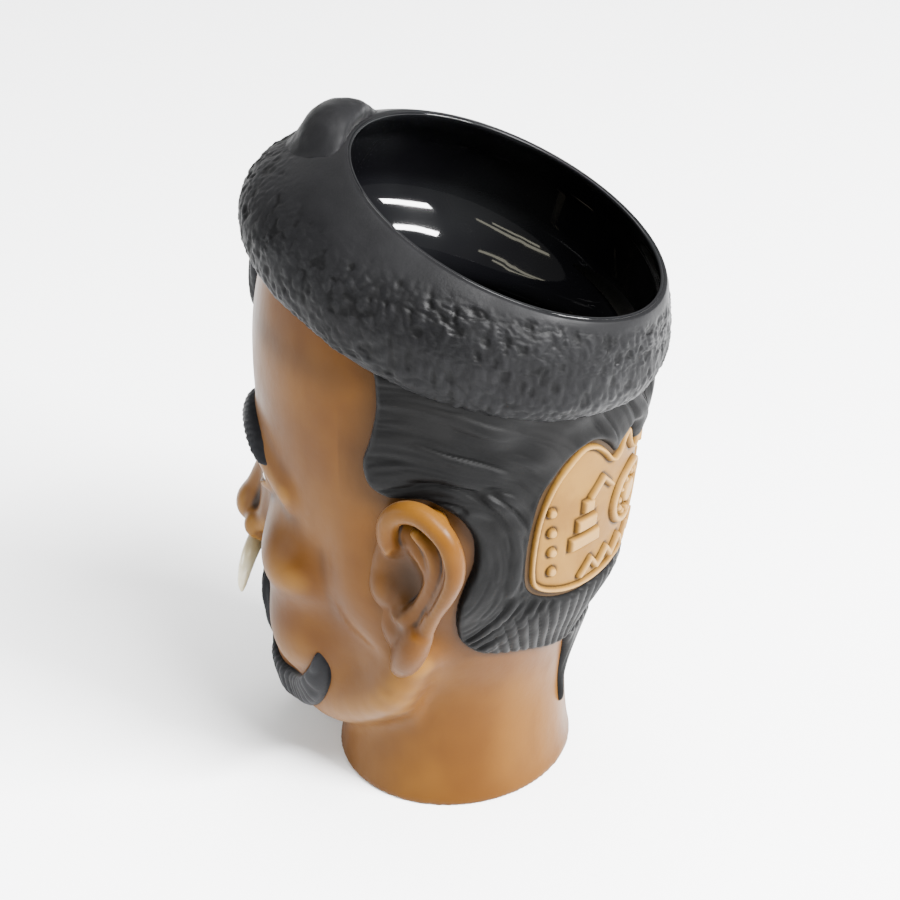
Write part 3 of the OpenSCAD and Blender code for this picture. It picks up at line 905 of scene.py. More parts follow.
def make_head():
    """The head, with what its paint needs: how recessed each point is, and where painted shade darkens it."""
    field = face_field((0, -64, -1.5), (51, 51, 164), HEAD_STEP)
    hollow_out(field)
    points, faces = field.mirrored().surface()
    points = smoothed(points, faces, 2)
    fine = hollows(points, faces, 8, 0.18, 6)
    broad = hollows(points, faces, 40, 0.9)
    x, y, z = points.T
    side = np.abs(x)
    # painted shade behind the ears, in the bowl of the ear, under the jaw and under the roll
    behind_ear = np.exp(-(((y - 17) / 6) ** 2 + ((z - 78) / 20) ** 2)) * (side > 30)
    under_ear = np.exp(-(((y - 8) / 9) ** 2 + ((z - 47) / 6) ** 2)) * (side > 26)
    in_ear = np.exp(-(((y - 4) / 7) ** 4 + ((z - 77) / 13) ** 4)) * step_between(38, 41, side)
    under_roll = np.exp(-((z - (128 + 4 * -y / 50)) / 4.5) ** 2) * 0.35
    shade = np.clip(0.45 * behind_ear + 0.12 * under_ear + 0.7 * in_ear + under_roll, 0, 1)
    # and painted shade in the corner along the edge of the hair, wider at the temple
    plane = np.stack([ARC * (math.pi - np.abs(np.arctan2(x, -y))), z], -1)
    past_hair = np.full(len(points), FAR)
    close = (plane[:, 0] < 84) & (z > 38) & (z < 142)
    past_hair[close] = -inside_distance(plane[close], HAIR_EDGE)
    shade = np.maximum(shade, 0.6 * np.exp(-(np.maximum(past_hair, 0) / 1.5) ** 2))
    shade = np.maximum(shade, 0.62 * np.exp(-(np.maximum(past_hair, 0) / 7) ** 2) * step_between(80, 92, z))
    outward = np.hypot(x, y) > vessel_outer(points)
    hollow = np.clip(fine + 0.15 * broad, -1, 1) * outward * step_between(1.5, 5, z)
    jaw = step_between(60, 50, z) * step_between(16, 26, side)
    hollow = np.where(hollow > 0, hollow * (1 - 0.85 * jaw), hollow)
    mesh_piece("head", points, faces, SKIN, ["head_body"],
               {"hollow": hollow, "shade": shade * outward})


def vessel_outer(points):
    """Radius midway through the wall, to tell the outside of the head from the inside."""
    return np.hypot(points[:, 0], points[:, 1]) - vessel_distance(points) + 1.5


def make_eyes():
    """Each eye is a closed cap of a ball, with a low dome over the iris."""
    rings, columns = 40, 72
    iris_size = math.radians(27)
    cornea = 0.25
    tilt = np.linspace(0, math.radians(62), rings)[1:]
    turn = np.linspace(0, 2 * math.pi, columns, endpoint=False)
    tilt, turn = np.meshgrid(tilt, turn, indexing="ij")
    radius = EYE_RADIUS + cornea * np.exp(-(tilt / iris_size * 1.2) ** 4)
    front = np.stack([radius * np.sin(tilt) * np.sin(turn), -radius * np.cos(tilt),
                      radius * np.sin(tilt) * np.cos(turn)], -1)
    cap, faces = closed_tube(front, (0, -EYE_RADIUS - cornea, 0), (0, -EYE_RADIUS * 0.4, 0))
    iris = np.concatenate([tilt.ravel(), [0, 1]]) / iris_size * 0.46
    for side, name in SIDES:
        points = cap + np.array(EYE_CENTRE) * (side, 1, 1)
        points[:, 1] = np.minimum(points[:, 1], EYE_BACK)
        mesh_piece("eye_glaze_" + name, points, faces, EYE, ["eye_" + name], {"iris": iris})


# ---------------------------------------------------------------- the hair roll

ROLL_COLUMNS = 620
BELLY_Z = 143.0        # mean height of the widest part, and how far it climbs to the front
BELLY_CLIMB = 14.5
EDGE_Z = 132.6         # the same for the lower edge
EDGE_CLIMB = 16.8


def bezier(p, q, r, s, t):
    """Rows of points on a curve from p to s that q and r pull."""
    t = t[:, None, None]
    return p * (1 - t) ** 3 + 3 * q * t * (1 - t) ** 2 + 3 * r * t**2 * (1 - t) + s * t**3


def roll_outline():
    """Rows of the roll: the lip, over the crest and the belly, in under the lower edge, up inside."""
    a = np.linspace(0, 2 * math.pi, ROLL_COLUMNS, endpoint=False)
    sine, cosine = np.sin(a), np.cos(a)
    depth = np.where(cosine > 0, ROLL_FRONT, ROLL_BACK)
    lip = rim_point(a, MOUTH_HALF_WIDTH + LIP_LAND, MOUTH_HALF_LENGTH + LIP_LAND)
    # the belly and the lower edge both climb towards the front
    belly_z = BELLY_Z + BELLY_CLIMB * cosine - 1.2 * np.cos(2 * a)
    belly = np.stack([ROLL_HALF_WIDTH * sine, -cosine * depth, belly_z], -1)
    low = EDGE_Z + EDGE_CLIMB * cosine
    seat = skull_radius(a, low) + 1.0
    edge = np.stack([seat * sine, -seat * cosine, low], -1)
    out = rim_point(a, 1, 1) - RIM
    flat = np.stack([sine, -cosine, 0 * a], -1)
    up = np.array([0, 0, 1.0])
    reach = np.linalg.norm(belly - lip, axis=-1)[:, None]
    drop = (belly - edge)[:, 2:]
    crest = bezier(lip, lip + out * 0.03 * reach, belly + up * 0.4 * reach, belly, np.linspace(0, 1, 90))
    under = bezier(belly, belly - up * 0.9 * drop, edge + 1.6 * flat + up * 0.12 * drop, edge,
                   np.linspace(0, 1, 42)[1:])
    inside = vessel_wall(a)[-28:-1]       # close behind the glaze, under the lip
    tuck = [edge - 4 * flat + up * 1.0]
    bead = [rim_point(a, MOUTH_HALF_WIDTH + 0.15, MOUTH_HALF_LENGTH + 0.15, 0.0),
            rim_point(a, MOUTH_HALF_WIDTH + 0.55, MOUTH_HALF_LENGTH + 0.55, 0.25)]
    rows = np.concatenate([np.stack(bead), crest, under, np.stack(tuck), inside + 0.7 * flat])
    return a, rows, len(bead), len(bead) + len(crest) + len(under)


def make_roll():
    """The roll of hair, with curls, stipple and pits that fade out towards the lip."""
    a, rows, first, last = roll_outline()
    across = np.roll(rows, -1, 1) - np.roll(rows, 1, 1)
    down = np.gradient(rows, axis=0)
    normal = np.cross(down, across)
    normal /= np.maximum(np.linalg.norm(normal, axis=-1, keepdims=True), 1e-9)
    skin = rows[first:last]
    from_lip = np.cumsum(np.linalg.norm(np.diff(skin, axis=0), axis=-1), 0)
    from_lip = np.concatenate([np.zeros((1, ROLL_COLUMNS)), from_lip])
    from_edge = from_lip[-1] - from_lip
    back = 0.5 - 0.5 * np.cos(a)                          # 0 at the front, 1 at the back
    smooth_land = 24 - 20 * step_between(0.05, 0.8, back)
    strength = step_between(0.35, 1.15, from_lip / smooth_land) * step_between(0, 2.5, from_edge)
    warped = skin + 1.1 * np.stack([noise(skin, 3.6, 31 + k) for k in range(3)], -1)
    squashed = warped * (1, 1, 0.55)
    first_cell, second_cell = cell_noise(squashed, 2.3, 5)
    curls = step_between(0.0, 0.6, second_cell - first_cell) - 0.5
    small_first, small_second = cell_noise(warped, 1.35, 9)
    stipple = step_between(0.0, 0.6, small_second - small_first) - 0.5
    pits = step_between(0.25, 0.6, noise(skin * (1, 1, 0.7), 1.9, 71))
    swell = noise(skin, 11, 3)
    relief = 0.25 * curls + 0.14 * stipple - 0.30 * pits + 0.16 * noise(squashed, 1.6, 23)
    relief = relief * strength + 0.3 * swell * step_between(4, 16, from_lip)
    skin += normal[first:last] * relief[..., None]
    points = rows.reshape(-1, 3)
    quads = grid_faces(len(rows), ROLL_COLUMNS, close_rows=True, close_columns=True)
    hollow = np.zeros(rows.shape[:2])
    hollow[first:last] = -np.clip((curls * 0.5 + stipple * 0.25 - pits * 0.9) * strength, -1, 1)
    mesh_piece("rolled_hair", points, [quads], ROLL_GREY, ["hair_roll"],
               {"hollow": hollow.ravel()})


def roll_top(points, low, high):
    """Height above the roll's upper surface near the dome, from a smooth fit to the roll."""
    _, rows, first, _ = roll_outline()
    skin = rows[first:first + 60].reshape(-1, 3)
    near = (np.abs(skin[:, 0]) < high[0] + 8) & (skin[:, 1] > low[1] - 10) & (skin[:, 1] < high[1] + 1)
    skin = skin[near]

    def terms(x, y):
        y = (y + 28) / 10
        x = x / 10
        return np.stack([x**0, y, y**2, y**3, x**2, x**2 * y, x**4, x**2 * y**2, y**4], -1)

    fit = np.linalg.lstsq(terms(skin[:, 0], skin[:, 1]), skin[:, 2], rcond=None)[0]
    return (points[..., 2] - terms(points[..., 0], points[..., 1]) @ fit) * 0.85


def make_topknot():
    """A low dome on the front of the roll, its skirt running into the roll."""
    low, high = node_box("topknot")
    field = Field((0, low[1] - 9, low[2] - 8), (high[0] + 9, high[1] + 3, high[2] + 5), 0.4)
    radii = np.array([9.2, 6.8, 5.8])
    centre = np.array([0, 0.5 * (low[1] + high[1]) + 0.5, high[2] - 6.9])
    field.merge(lambda p: ellipsoid(p, centre, radii), centre - 12, centre + 12, 1, blend_min)
    points = field.points()
    above_roll = roll_top(points, low, high)
    field.value = blend_min(field.value, above_roll + 0.45, 10)
    # the skirt ends in an oval round the dome, sits 2.5 mm deep and stops short of the lip
    skirt = np.hypot(points[..., 0] / 17, (points[..., 1] - centre[1] + 1) / 15) - 1
    field.value = blend_max(field.value, skirt * 12, 1)
    field.value = np.maximum(field.value, -above_roll - 2.5)
    mouth = np.hypot(points[..., 0] / (MOUTH_HALF_WIDTH + 1.0),
                     ((points - RIM) @ TILT_ALONG) / (MOUTH_HALF_LENGTH + 1.0)) - 1
    field.value = blend_max(field.value, -mouth * 38, 3)
    field.value += 0.10 * noise(points, 2.2, 4)
    points, faces = field.mirrored().surface()
    mesh_piece("topknot_dome", points, faces, ROLL_GREY, ["topknot"],
               {"hollow": 0.4 * hollows(points, faces, 8, 0.2)})


# ---------------------------------------------------------------- combed hair, panel and nape

ARC = 46.0    # millimetres round the skull to a radian

# Outlines are in millimetres round from the middle of the back, and height
HAIR_EDGE = rounded([
    (74.6, 137), (73.9, 131), (73.6, 124), (75.2, 116), (77.0, 110), (75.6, 104.2), (71.4, 101.6),
    (67, 101.6), (62, 101.8), (57.5, 99.4), (53.4, 95.6), (50.8, 90), (50.8, 83), (53, 76),
    (54.8, 69.6), (55.2, 63.5), (54.2, 57.5), (50.6, 53.4), (45.6, 51), (38, 49.4), (30, 47.6),
    (22, 45.2), (14, 43.8), (4, 43.4), (-6, 43.4), (-8, 60), (-8, 119), (20, 120.4), (40, 124.8),
    (60, 131)], 6)
PANEL_HALF = [(0, 66.2), (10, 65.8), (20, 66.0), (29, 68.0), (35.2, 71.4), (37.3, 76.4), (37.0, 87),
              (35.5, 95.5), (32.6, 102.6), (28.2, 107.8), (23.4, 110.8), (18.8, 109.8), (14.8, 106.6),
              (11.2, 102.8), (9.0, 106.6), (5.0, 108.2), (2.8, 103.8), (0, 100.6)]
PANEL_EDGE = rounded([
    (side * arc, z) for side, half in ((1, PANEL_HALF), (-1, PANEL_HALF[-2:0:-1])) for arc, z in half], 5)
NAPE_EDGE = rounded([
    (10.5, 47), (9.6, 43.2), (6.6, 38), (4.4, 32), (2.6, 25.4), (1.2, 19.4), (0, 17.0),
    (-1.2, 19.4), (-2.6, 25.4), (-4.4, 32), (-6.6, 38), (-9.6, 43.2), (-10.5, 47)], 6)
HAIR_THICK = 2.4
PANEL_THICK = 1.0
RELIEF = 1.2
SUNK = 0.7             # an edge of hair dips this far into the skull
EAR_ARC = 66.0         # the strands turn round this spot
EAR_HEIGHT = 80.0


def back_grid(arc_low, arc_high, z_low, z_high, step):
    """Arcs and heights of an even grid on the back of the head, and the angle from the front."""
    arcs = np.arange(arc_low, arc_high + step, step)
    heights = np.arange(z_low, z_high + step, step)
    arcs, heights = np.meshgrid(arcs, heights, indexing="ij")
    return np.stack([arcs, heights], -1), math.pi - arcs / ARC


def layer_piece(name, plane, angle, lift, floor_lift, keep, material, nodes, attributes):
    """A closed skin over the skull: its top stands off by lift, its underside by floor_lift."""
    heights = plane[..., 1]
    outer = on_skull(angle, heights, lift)
    inner = on_skull(angle, heights, np.minimum(floor_lift, lift - 0.3))
    corners = keep[:-1, :-1] & keep[1:, :-1] & keep[:-1, 1:] & keep[1:, 1:]
    points, quads, used = shell(outer, inner, corners)
    picked = {key: values.ravel()[used] for key, values in attributes.items()}
    mesh_piece(name, points, [quads], material, nodes, picked)


def comb_lines(plane, side):
    """Strands that sweep back over the ear and down behind it: their swell, deep grooves, fine grooves."""
    arc, z = plane[..., 0], plane[..., 1]
    spot = np.stack([arc, z, np.full_like(arc, 7.0 * side)], -1)
    around = np.hypot((arc - EAR_ARC) * 0.96, z - EAR_HEIGHT) + 2.2 * noise(spot, 24, 41)
    along = 30 * np.arctan2(z - EAR_HEIGHT, EAR_ARC - arc)
    flow = np.stack([around, along / 7.0, np.full_like(arc, 7.0 * side)], -1)
    swell = noise(flow, 2.7, 44)
    deep = np.exp(-(swell / 0.16) ** 2) * step_between(-0.7, 0.25, noise(flow, 9, 45))
    fine = np.exp(-(noise(flow, 1.25, 46) / 0.28) ** 2)
    return swell, deep, fine


def make_combed_hair():
    """Each side is one layer of combed strands, cut out round the ear and the panel."""
    for side, name in SIDES:
        plane, angle = back_grid(0, 79, 41.5, 139, 0.42)
        inside = np.minimum(inside_distance(plane, HAIR_EDGE), -inside_distance(plane, PANEL_EDGE))
        swell, deep, fine = comb_lines(plane, side)
        arc, z = plane[..., 0], plane[..., 1]
        behind = step_between(74, 50, arc)
        spot = np.stack([arc, z, 0 * arc + side], -1)
        body = HAIR_THICK + 0.4 * noise(spot, 16, 44)
        # tufts over the panel
        body += 1.0 * np.exp(-(((z - 110) / 7) ** 2)) * step_between(30, 8, arc)
        # slanting locks under the roll
        slanted = np.stack([(arc + z) * 0.5, z * 0.9 - arc * 0.5, 0 * arc + side], -1)
        body += 0.9 * noise(slanted, 5.2, 48) * step_between(60, 40, arc) * step_between(84, 100, z)
        # ledge under the panel, and thinner hair at the nape
        body += 0.5 * np.exp(-(((z - 62) / 5) ** 2)) * step_between(40, 20, arc)
        body -= 0.9 * step_between(58, 46, z) * step_between(50, 36, arc)
        # ribs that fan out below the panel
        fan = arc * (1 + 0.0105 * (66 - z)) + 0.6 * noise(spot, 9, 47)
        ribs = np.abs(np.sin(math.pi * fan / 3.7)) ** 0.8 - 0.6
        under_panel = step_between(67, 62, z) * step_between(49, 40, arc)
        body += 0.8 * ribs * under_panel
        swell, deep, fine = (part * (1 - 0.8 * under_panel) for part in (swell, deep, fine))
        edge = round_edge(inside, 2.3)
        strands = 0.62 * swell * (0.35 + 0.65 * behind) - 0.85 * deep * (0.4 + 0.6 * behind) - 0.2 * fine
        lift = body * edge - SUNK * (1 - edge) + strands * step_between(0.2, 2.4, inside)
        lift = np.where(inside <= 0, -SUNK, lift)
        hollow = 0.9 * deep * (0.3 + 0.7 * behind) + 0.25 * fine - 0.3 * swell - 1.1 * ribs * under_panel
        hollow = np.clip(hollow * step_between(0, 1.5, inside), -1, 1)
        layer_piece("combed_hair_" + name, plane, side * angle, lift, -0.9, inside > -0.35, COMBED_GREY,
                    ["hair_" + name], {"hollow": hollow})


def make_nape():
    """The pointed tail of hair on the neck."""
    plane, angle = back_grid(-11, 11, 16, 47, 0.3)
    inside = inside_distance(plane, NAPE_EDGE)
    edge = round_edge(inside, 2.4)
    arc, z = plane[..., 0], plane[..., 1]
    grooves = np.abs(np.sin(math.pi * arc / (1.1 + 0.09 * (z - 16))))
    thick = 1.3 + 1.1 * step_between(24, 44, z) + 0.7 * np.exp(-((z - 19) / 4.0) ** 2)
    lift = thick * edge - SUNK * (1 - edge) - 0.35 * (1 - grooves) * step_between(0.3, 2, inside)
    lift = np.where(inside <= 0, -SUNK, lift)
    layer_piece("nape_hair", plane, angle, lift, -1.5, inside > -0.3, COMBED_GREY,
                ["nape_tail"], {"hollow": 0.8 * (1 - grooves)})


def motif_distance(plane):
    """Distance into the raised general shapes: rings, a zigzag, stepped blocks; positive inside."""
    arc, z = plane[..., 0], plane[..., 1]
    spread = 1.12                                       # the flat outline opens out round the skull
    centre = np.hypot(arc / spread, z - 86)
    inside = np.maximum(0.9 - np.abs(centre - 7.6), 3.2 - centre)
    ticks = np.abs((np.degrees(np.arctan2(arc / spread, z - 86)) % 30) - 15)
    inside = np.maximum(inside, np.minimum(0.9 - np.abs(centre - 5.4), 0.7 - np.radians(15 - ticks) * centre))
    zigzag = [(3 * k * spread, 70.5 if k % 2 == 0 else 74.5, 0.8) for k in range(-6, 7)]
    inside = np.maximum(inside, -polyline(plane, zigzag))
    for side in (-1, 1):
        for k in range(3):
            half = (6 - 2 * k) * 0.75 * spread
            box = np.maximum(np.abs(arc - side * 18 * spread) - half, np.abs(z - (81.8 + 5 * k)) - 1.8)
            inside = np.maximum(inside, -box)
        for k in range(4):
            dot = (side * (27.5 + 0.4 * k) * spread * 0.98, 76 + 6.0 * k)
            inside = np.maximum(inside, 1.25 - np.linalg.norm(plane - np.array(dot), axis=-1))
        chevron = [(side * 11.5, 94, 0.75), (side * 15.5, 98, 0.75), (side * 19.5, 94, 0.75)]
        inside = np.maximum(inside, -polyline(plane, chevron))
    return inside


def make_panel():
    """The shaved panel, and the frame and carving raised on it."""
    plane, angle = back_grid(-39, 39, 63.5, 113, 0.3)
    inside = inside_distance(plane, PANEL_EDGE)
    spot = np.stack([plane[..., 0], plane[..., 1], 0 * angle], -1)
    border = 0.62 - np.abs(inside - 1.6)
    motifs = np.minimum(motif_distance(plane), inside - 3.2)
    near = np.maximum(border, motifs)
    shade = step_between(-1.3, -0.1, near) + step_between(1.5, 0.0, inside) * 0.9
    ground = PANEL_THICK + 0.12 * noise(spot, 6, 51) - 0.25 * step_between(-1.4, 0, near)
    layer_piece("shaved_panel", plane, angle, ground, -0.8, inside > -1.2, PANEL, ["back_panel"],
                {"hollow": np.zeros_like(inside), "shade": np.clip(shade, 0, 1)})
    for name, node, distance in (("panel_frame", "panel_border", border),
                                 ("panel_carving", "panel_motifs", motifs)):
        edge = step_between(-0.35, 0.45, distance)
        lift = PANEL_THICK - 0.5 + (RELIEF + 0.5) * edge + 0.12 * noise(spot, 5, 52) * edge
        layer_piece(name, plane, angle, lift, 0.3, distance > -0.4, PANEL, [node],
                    {"hollow": -0.8 * edge + 0.3, "shade": np.clip(1 - edge * 1.6, 0, 1)})


# ---------------------------------------------------------------- ears

HELIX = [(46.2, 6.5, 82.5, 1.5), (47.4, 3.4, 86, 2.2), (48.2, 1.6, 91, 2.6), (49.2, 2.6, 96.6, 2.7),
         (50.2, 6.4, 100.2, 2.8), (51.0, 11.4, 100.6, 2.9), (51.8, 16.2, 97.6, 3.0), (52.2, 19.2, 92, 3.0),
         (52.0, 19.4, 86, 2.8), (51.0, 17.0, 79.6, 2.5), (49.8, 13.8, 73.6, 2.2), (48.6, 11.4, 68, 2.1),
         (47.6, 9.6, 63.4, 2.2)]
LOBE = [(47.4, 8.6, 64, 3.6), (46.6, 6.6, 59.6, 4.2), (45.2, 4.4, 54.8, 4.0), (43.8, 2.6, 51.4, 3.0)]
ANTIHELIX = [(49.6, 9.6, 94.6, 1.6), (50.0, 13.2, 91, 1.9), (50.0, 14.4, 86, 2.0), (49.0, 12.6, 80, 2.0),
             (47.8, 9.6, 73.6, 1.9), (47.0, 6.6, 69.6, 2.1)]


def make_ears():
    """One ear is built and copied to the other side."""
    field = Field((36.5, -7, 47), (56.5, 25, 106), 0.4)
    field.add_rope([(44, 7.5, 92, 4.6), (45.6, 12, 85, 5), (44.4, 8.6, 74, 4.6), (42.6, 4, 63, 4.2)], 3)
    field.add_rope([(45.4, 12, 96, 3.6), (47.8, 15.4, 90, 3.4), (47.4, 14.6, 82, 3.2),
                    (45.8, 9.6, 70, 3.2)], 2)
    field.add_rope([(44.0, 2.5, 95, 3.2), (44.5, 1.0, 88, 3.2), (43.4, -1.6, 78, 3.4),
                    (42, -1.6, 68, 3.4), (42.4, 1.4, 60, 3.6)], 3)
    field.add_ellipsoid((42.6, 4.5, 79), (4.0, 9.5, 15), 3)
    field.add_rope(LOBE, 2.5)
    field.add_rope(HELIX, 0.9)
    field.cut_ellipsoid((50.6, 5.4, 78.6), (5.6, 6.4, 9.6), 1.4)
    field.cut_rope([(51.6, 6.6, 90.4, 1.6), (50.2, 5.2, 86.8, 2.2)], 1.2)
    field.add_rope(ANTIHELIX, 0.9)
    field.cut_rope([(53.0, 10.4, 97.0, 1.0), (53.6, 15.6, 94.0, 1.3), (53.8, 17.0, 88, 1.2),
                    (53.0, 15.4, 81.6, 1.0), (51.4, 12.0, 74, 0.8)], 0.9)
    field.add_ellipsoid((45.4, -1.0, 75.2), (2.4, 2.6, 4.0), 2.6)
    field.add_ellipsoid((46.4, 4.8, 68.2), (2.3, 3.0, 2.2), 1.6)
    field.cut_ellipsoid((49.0, 2.4, 71.6), (2.4, 2.0, 3.6), 1.0)
    points, faces = field.surface()
    points = smoothed(points, faces, 5)
    hollow = hollows(points, faces, 12, 0.22)
    hollow = np.clip(np.where(hollow > 0, 1.15, 0.7) * hollow, -1, 1)
    x, y, z = points.T
    # painted shade in the bowl of the ear and on the ear's back next to the head
    bowl = np.exp(-(((y - 6) / 7) ** 2 + ((z - 79) / 13) ** 2)) * step_between(50.2, 47.6, x)
    behind = step_between(17, 22, y) * step_between(51, 47, x)
    shade = np.clip(0.8 * bowl + 0.5 * behind, 0, 1)
    for side, name in SIDES:
        mesh_piece("ear_form_" + name, points * (side, 1, 1), faces, SKIN, ["ear_" + name],
                   {"hollow": hollow, "shade": shade})


# ---------------------------------------------------------------- hair on the face

def lay_on_face(field, edge, depth):
    """Keeps only a layer of a depth on the face, within an edge, seated a little way into it."""
    field.value = np.maximum(blend_max(field.value - depth, edge, 0.5), -(field.value + 0.8))


def lock_piece(node, field, across):
    """One piece across the middle of the face, or the same piece on the left and on the right."""
    points, faces = (field.mirrored() if across else field).surface()
    hollow = hollows(points, faces, 8, 0.12)
    targets = [(1, node)] if across else [(side, node + "_" + word) for side, word in SIDES]
    for side, name in targets:
        piece = name.replace(node, node + "_hair")
        mesh_piece(piece, points * (side, 1, 1), faces, DARK_HAIR, [name], {"hollow": hollow})


def face_hair(node, low, high, outline, thick, groove, across=False):
    """A lock that lies on the face inside a front-view outline; negative outline distance is inside."""
    field = face_field(low, high, LOCK_STEP)
    points = field.points()
    edge = outline(points)
    depth = thick * round_edge(-edge, 2.6) + groove(points) * step_between(0, -1.6, edge)
    lay_on_face(field, edge, depth)
    lock_piece(node, field, across)


def front_stroke(path):
    """Front-view distance to a tapering stroke whose rows are x, z, half-width."""
    return lambda points: stroke(points[..., [0, 2]], path)


def slant_grooves(pitch, lean, depth):
    """Grooves between strands that lean over, as a change of depth."""
    def groove(points):
        phase = (points[..., 0] + lean * points[..., 2] + 0.6 * noise(points, 6, 61)) / pitch
        return -depth * (1 - np.abs(np.sin(math.pi * phase)) ** 0.7)
    return groove


def make_face_hair():
    """The brows, the moustache, and the crescent of beard with its tuft."""
    brow = front_stroke([(5.6, BROW + 2.2, 2.5), (11, BROW + 5.4, 3.2), (20, BROW + 7.2, 3.0),
                         (28, BROW + 5.2, 2.2), (33.6, BROW + 1.2, 0.6)])
    face_hair("brow", (1, -58, 88), (38, -24, 108), brow, 1.9, slant_grooves(2.3, -0.9, 0.5))
    lip = front_stroke([(0.6, 49.6, 2.3), (6, 50.2, 2.7), (13, 48.2, 2.6), (18.4, 43.6, 2.0),
                        (21.6, 37.6, 1.2), (22.6, 33, 0.4)])
    face_hair("moustache", (0, -62, 30), (27, -32, 56), lip, 2.1, slant_grooves(2.1, 0.7, 0.5))

    def beard(points):
        x, z = points[..., 0], points[..., 2]
        round_jaw = 40 * np.arctan2(x, -points[..., 1]) / 1.05
        disc = (np.hypot(round_jaw / 41, (z - 40) / 27) - 1) * 30
        bite = (np.hypot(round_jaw / 40, (z - 52) / 30) - 1) * 32
        crescent = blend_max(disc, -bite, 1.0)
        tuft = front_stroke([(0, 33.5, 1.6), (0, 28, 2.6), (0, 20, 5)])(points)
        return blend_min(crescent, tuft, 2.5)

    face_hair("goatee", (0, -60, 4), (41, -8, 49), beard, 2.2, slant_grooves(2.6, 0.15, 0.45), across=True)


def make_forelock():
    """The dark lock that shows under the roll at the middle of the forehead."""
    field = face_field((0, -62, 115), (10, -34, 153), 0.4)
    points = field.points()
    edge = front_stroke([(0, 153, 7.6), (0, 141, 7.0), (0, 131, 5.6), (0, 125, 3.8), (0, 119, 0.7)])(points)
    depth = 4.6 * round_edge(-edge, 4.2) - 0.5 * (1 - np.abs(np.sin(points[..., 0] * 1.5)) ** 0.7)
    lay_on_face(field, edge, depth)
    lock_piece("forelock", field, across=True)


def make_tusk():
    """A crescent worn through the nose, thick in the middle, its points turned down."""
    columns = 28
    turns = np.linspace(-1, 1, 120)
    bend = turns * math.radians(100)
    path = np.stack([13.0 * np.sin(bend), -53.0 - 2.4 * np.abs(turns) ** 1.5,
                     NOSE_BASE - 13.2 + 12.4 * np.cos(bend)], -1)
    radius = 2.35 * (1 - np.abs(turns) ** 2.2) ** 0.6 + 0.12
    heading = np.gradient(path, axis=0)
    heading /= np.linalg.norm(heading, axis=1, keepdims=True)
    side = np.cross(heading, (0, 1.0, 0))
    side /= np.linalg.norm(side, axis=1, keepdims=True)
    other = np.cross(heading, side)
    spin = np.linspace(0, 2 * math.pi, columns, endpoint=False)[None, :, None]
    around = side[:, None] * np.cos(spin) + other[:, None] * np.sin(spin)
    points, faces = closed_tube(path[:, None] + radius[:, None, None] * around, path[0], path[-1])
    at_nose = np.exp(-((np.abs(turns) - 0.3) / 0.14) ** 2) * 0.5
    shade = np.concatenate([np.repeat(at_nose, columns), [0, 0]])
    mesh_piece("nose_crescent", points, faces, IVORY, ["nose_tusk"], {"shade": shade})


# ---------------------------------------------------------------- stage, light and camera

def make_floor():
    """A plain pale floor."""
    half = 3.0
    corners = [(-half, -half, 0), (half, -half, 0), (half, half, 0), (-half, half, 0)]
    mesh = bpy.data.meshes.new("floor")
    mesh.from_pydata(corners, [], [(0, 1, 2, 3)])
    floor = bpy.data.objects.new("floor", mesh)
    bpy.context.scene.collection.objects.link(floor)
    look = Look("pale_floor", roughness=0.6)
    look.color(look.mix(look.noise(4, 2), (0.94, 0.945, 0.955), (0.965, 0.97, 0.98)))
    mesh.materials.append(look.material)


LAMP_DISTANCE = 1.6            # metres from the middle of the mouth
WINDOW_LIGHT = (1.0, 0.96, 0.76)
SKY_LIGHT = (0.95, 0.97, 1.0)
WORLD_LIGHT = 0.70


def area_light(name, place, aim, width, height, power, color=(1, 1, 1)):
    """A flat rectangular lamp that faces what it aims at; metres and watts."""
    light = bpy.data.lights.new(name, "AREA")
    light.shape = "RECTANGLE"
    light.size, light.size_y, light.energy, light.color = width, height, power, color
    holder = bpy.data.objects.new(name, light)
    holder.location = place
    holder.rotation_euler = (Vector(aim) - Vector(place)).to_track_quat("-Z", "Y").to_euler()
    bpy.context.scene.collection.objects.link(holder)
    return holder


def lamp_at(name, azimuth, elevation, width, height, power, tip=0.0, color=(1, 1, 1)):
    """A lamp that shines into the mouth from a bearing, tipped in its own plane; degrees."""
    a, e = math.radians(azimuth), math.radians(elevation)
    mouth = Vector(RIM * MM)
    way = Vector((math.cos(a) * math.cos(e), math.sin(a) * math.cos(e), math.sin(e)))
    holder = area_light(name, mouth + LAMP_DISTANCE * way, mouth, width, height, power, color)
    holder.rotation_euler.rotate_axis("Z", math.radians(tip))


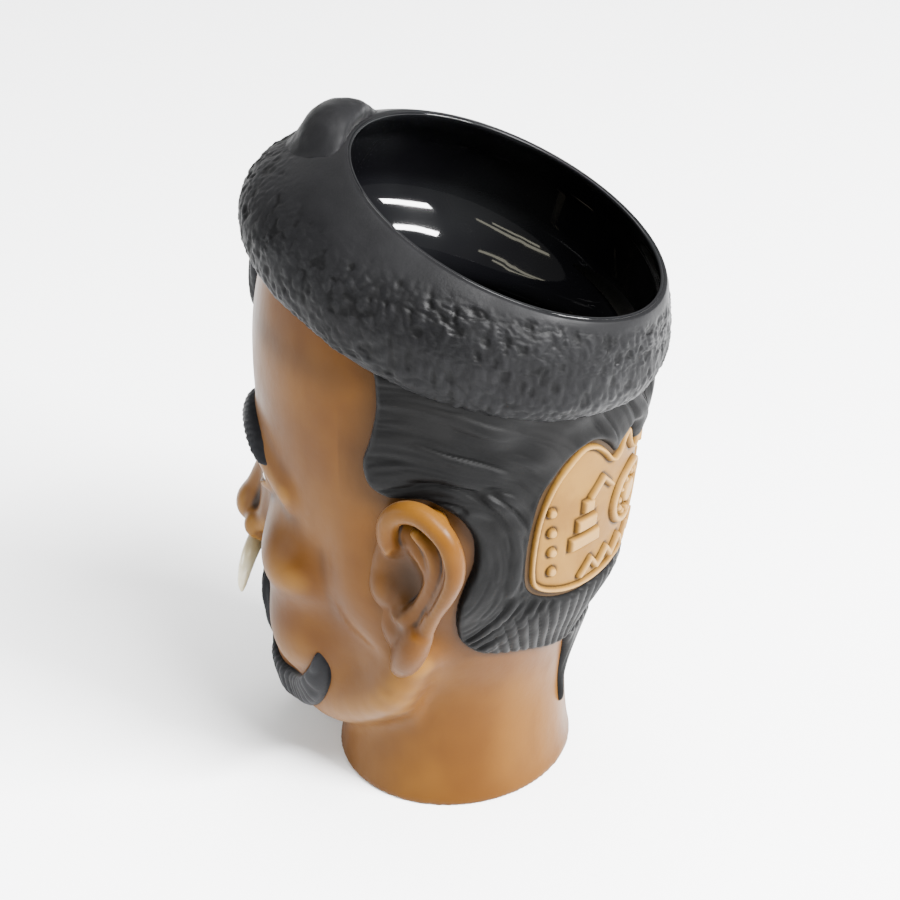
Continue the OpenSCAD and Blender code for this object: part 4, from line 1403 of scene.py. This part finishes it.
def make_lights():
    """Pale surroundings, a low key behind the mug, two window strips, a top light and a front fill."""
    world = bpy.data.worlds.new("studio")
    world.use_nodes = True
    world.node_tree.nodes["Background"].inputs["Color"].default_value = (1, 1, 1, 1)
    world.node_tree.nodes["Background"].inputs["Strength"].default_value = WORLD_LIGHT
    bpy.context.scene.world = world
    # bearing and height in degrees, width and height in metres, watts, tip
    lamp_at("key", 82.5, 28.6, 0.76, 0.10, 195, -11)
    lamp_at("soft key", 62.0, 52.0, 0.7, 0.7, 98)
    lamp_at("window high", 9.5, 35.6, 1.35, 0.05, 3.9, 0, WINDOW_LIGHT)
    lamp_at("window low", 7.0, 32.2, 0.85, 0.045, 2.4, 0, WINDOW_LIGHT)
    area_light("top", (-0.2, 0.1, 1.6), (0, 0, 0.1), 1.1, 0.6, 36)
    lamp_at("front fill", -62.0, 10.0, 0.9, 0.5, 22, 0, SKY_LIGHT)


CAMERA_ANGLES = (110.5, 30.0, -0.9)      # round from the front, above the table, roll
CAMERA_AIM = np.array([0, -0.27, 88.4])
CAMERA_DISTANCE = 610.2


def make_camera():
    """Looks down on the mug from behind its left ear."""
    azimuth, elevation, roll = (math.radians(angle) for angle in CAMERA_ANGLES)
    back = np.array([math.sin(azimuth) * math.cos(elevation), -math.cos(azimuth) * math.cos(elevation),
                     math.sin(elevation)])
    right = np.array([math.cos(azimuth), math.sin(azimuth), 0])
    up = np.cross(back, right)
    right, up = (math.cos(roll) * right + math.sin(roll) * up, -math.sin(roll) * right + math.cos(roll) * up)
    camera = bpy.data.objects.new("camera", bpy.data.cameras.new("camera"))
    camera.data.lens = 96
    camera.data.sensor_width = 36
    place = (CAMERA_AIM + back * CAMERA_DISTANCE) * MM
    camera.matrix_world = Matrix([[right[k], up[k], back[k], place[k]] for k in range(3)] + [[0, 0, 0, 1]])
    bpy.context.scene.collection.objects.link(camera)
    bpy.context.scene.camera = camera


make_head()
make_liner()
make_roll()
make_topknot()
make_combed_hair()
make_nape()
make_panel()
make_ears()
make_eyes()
make_face_hair()
make_forelock()
make_tusk()
make_floor()
make_lights()
make_camera()
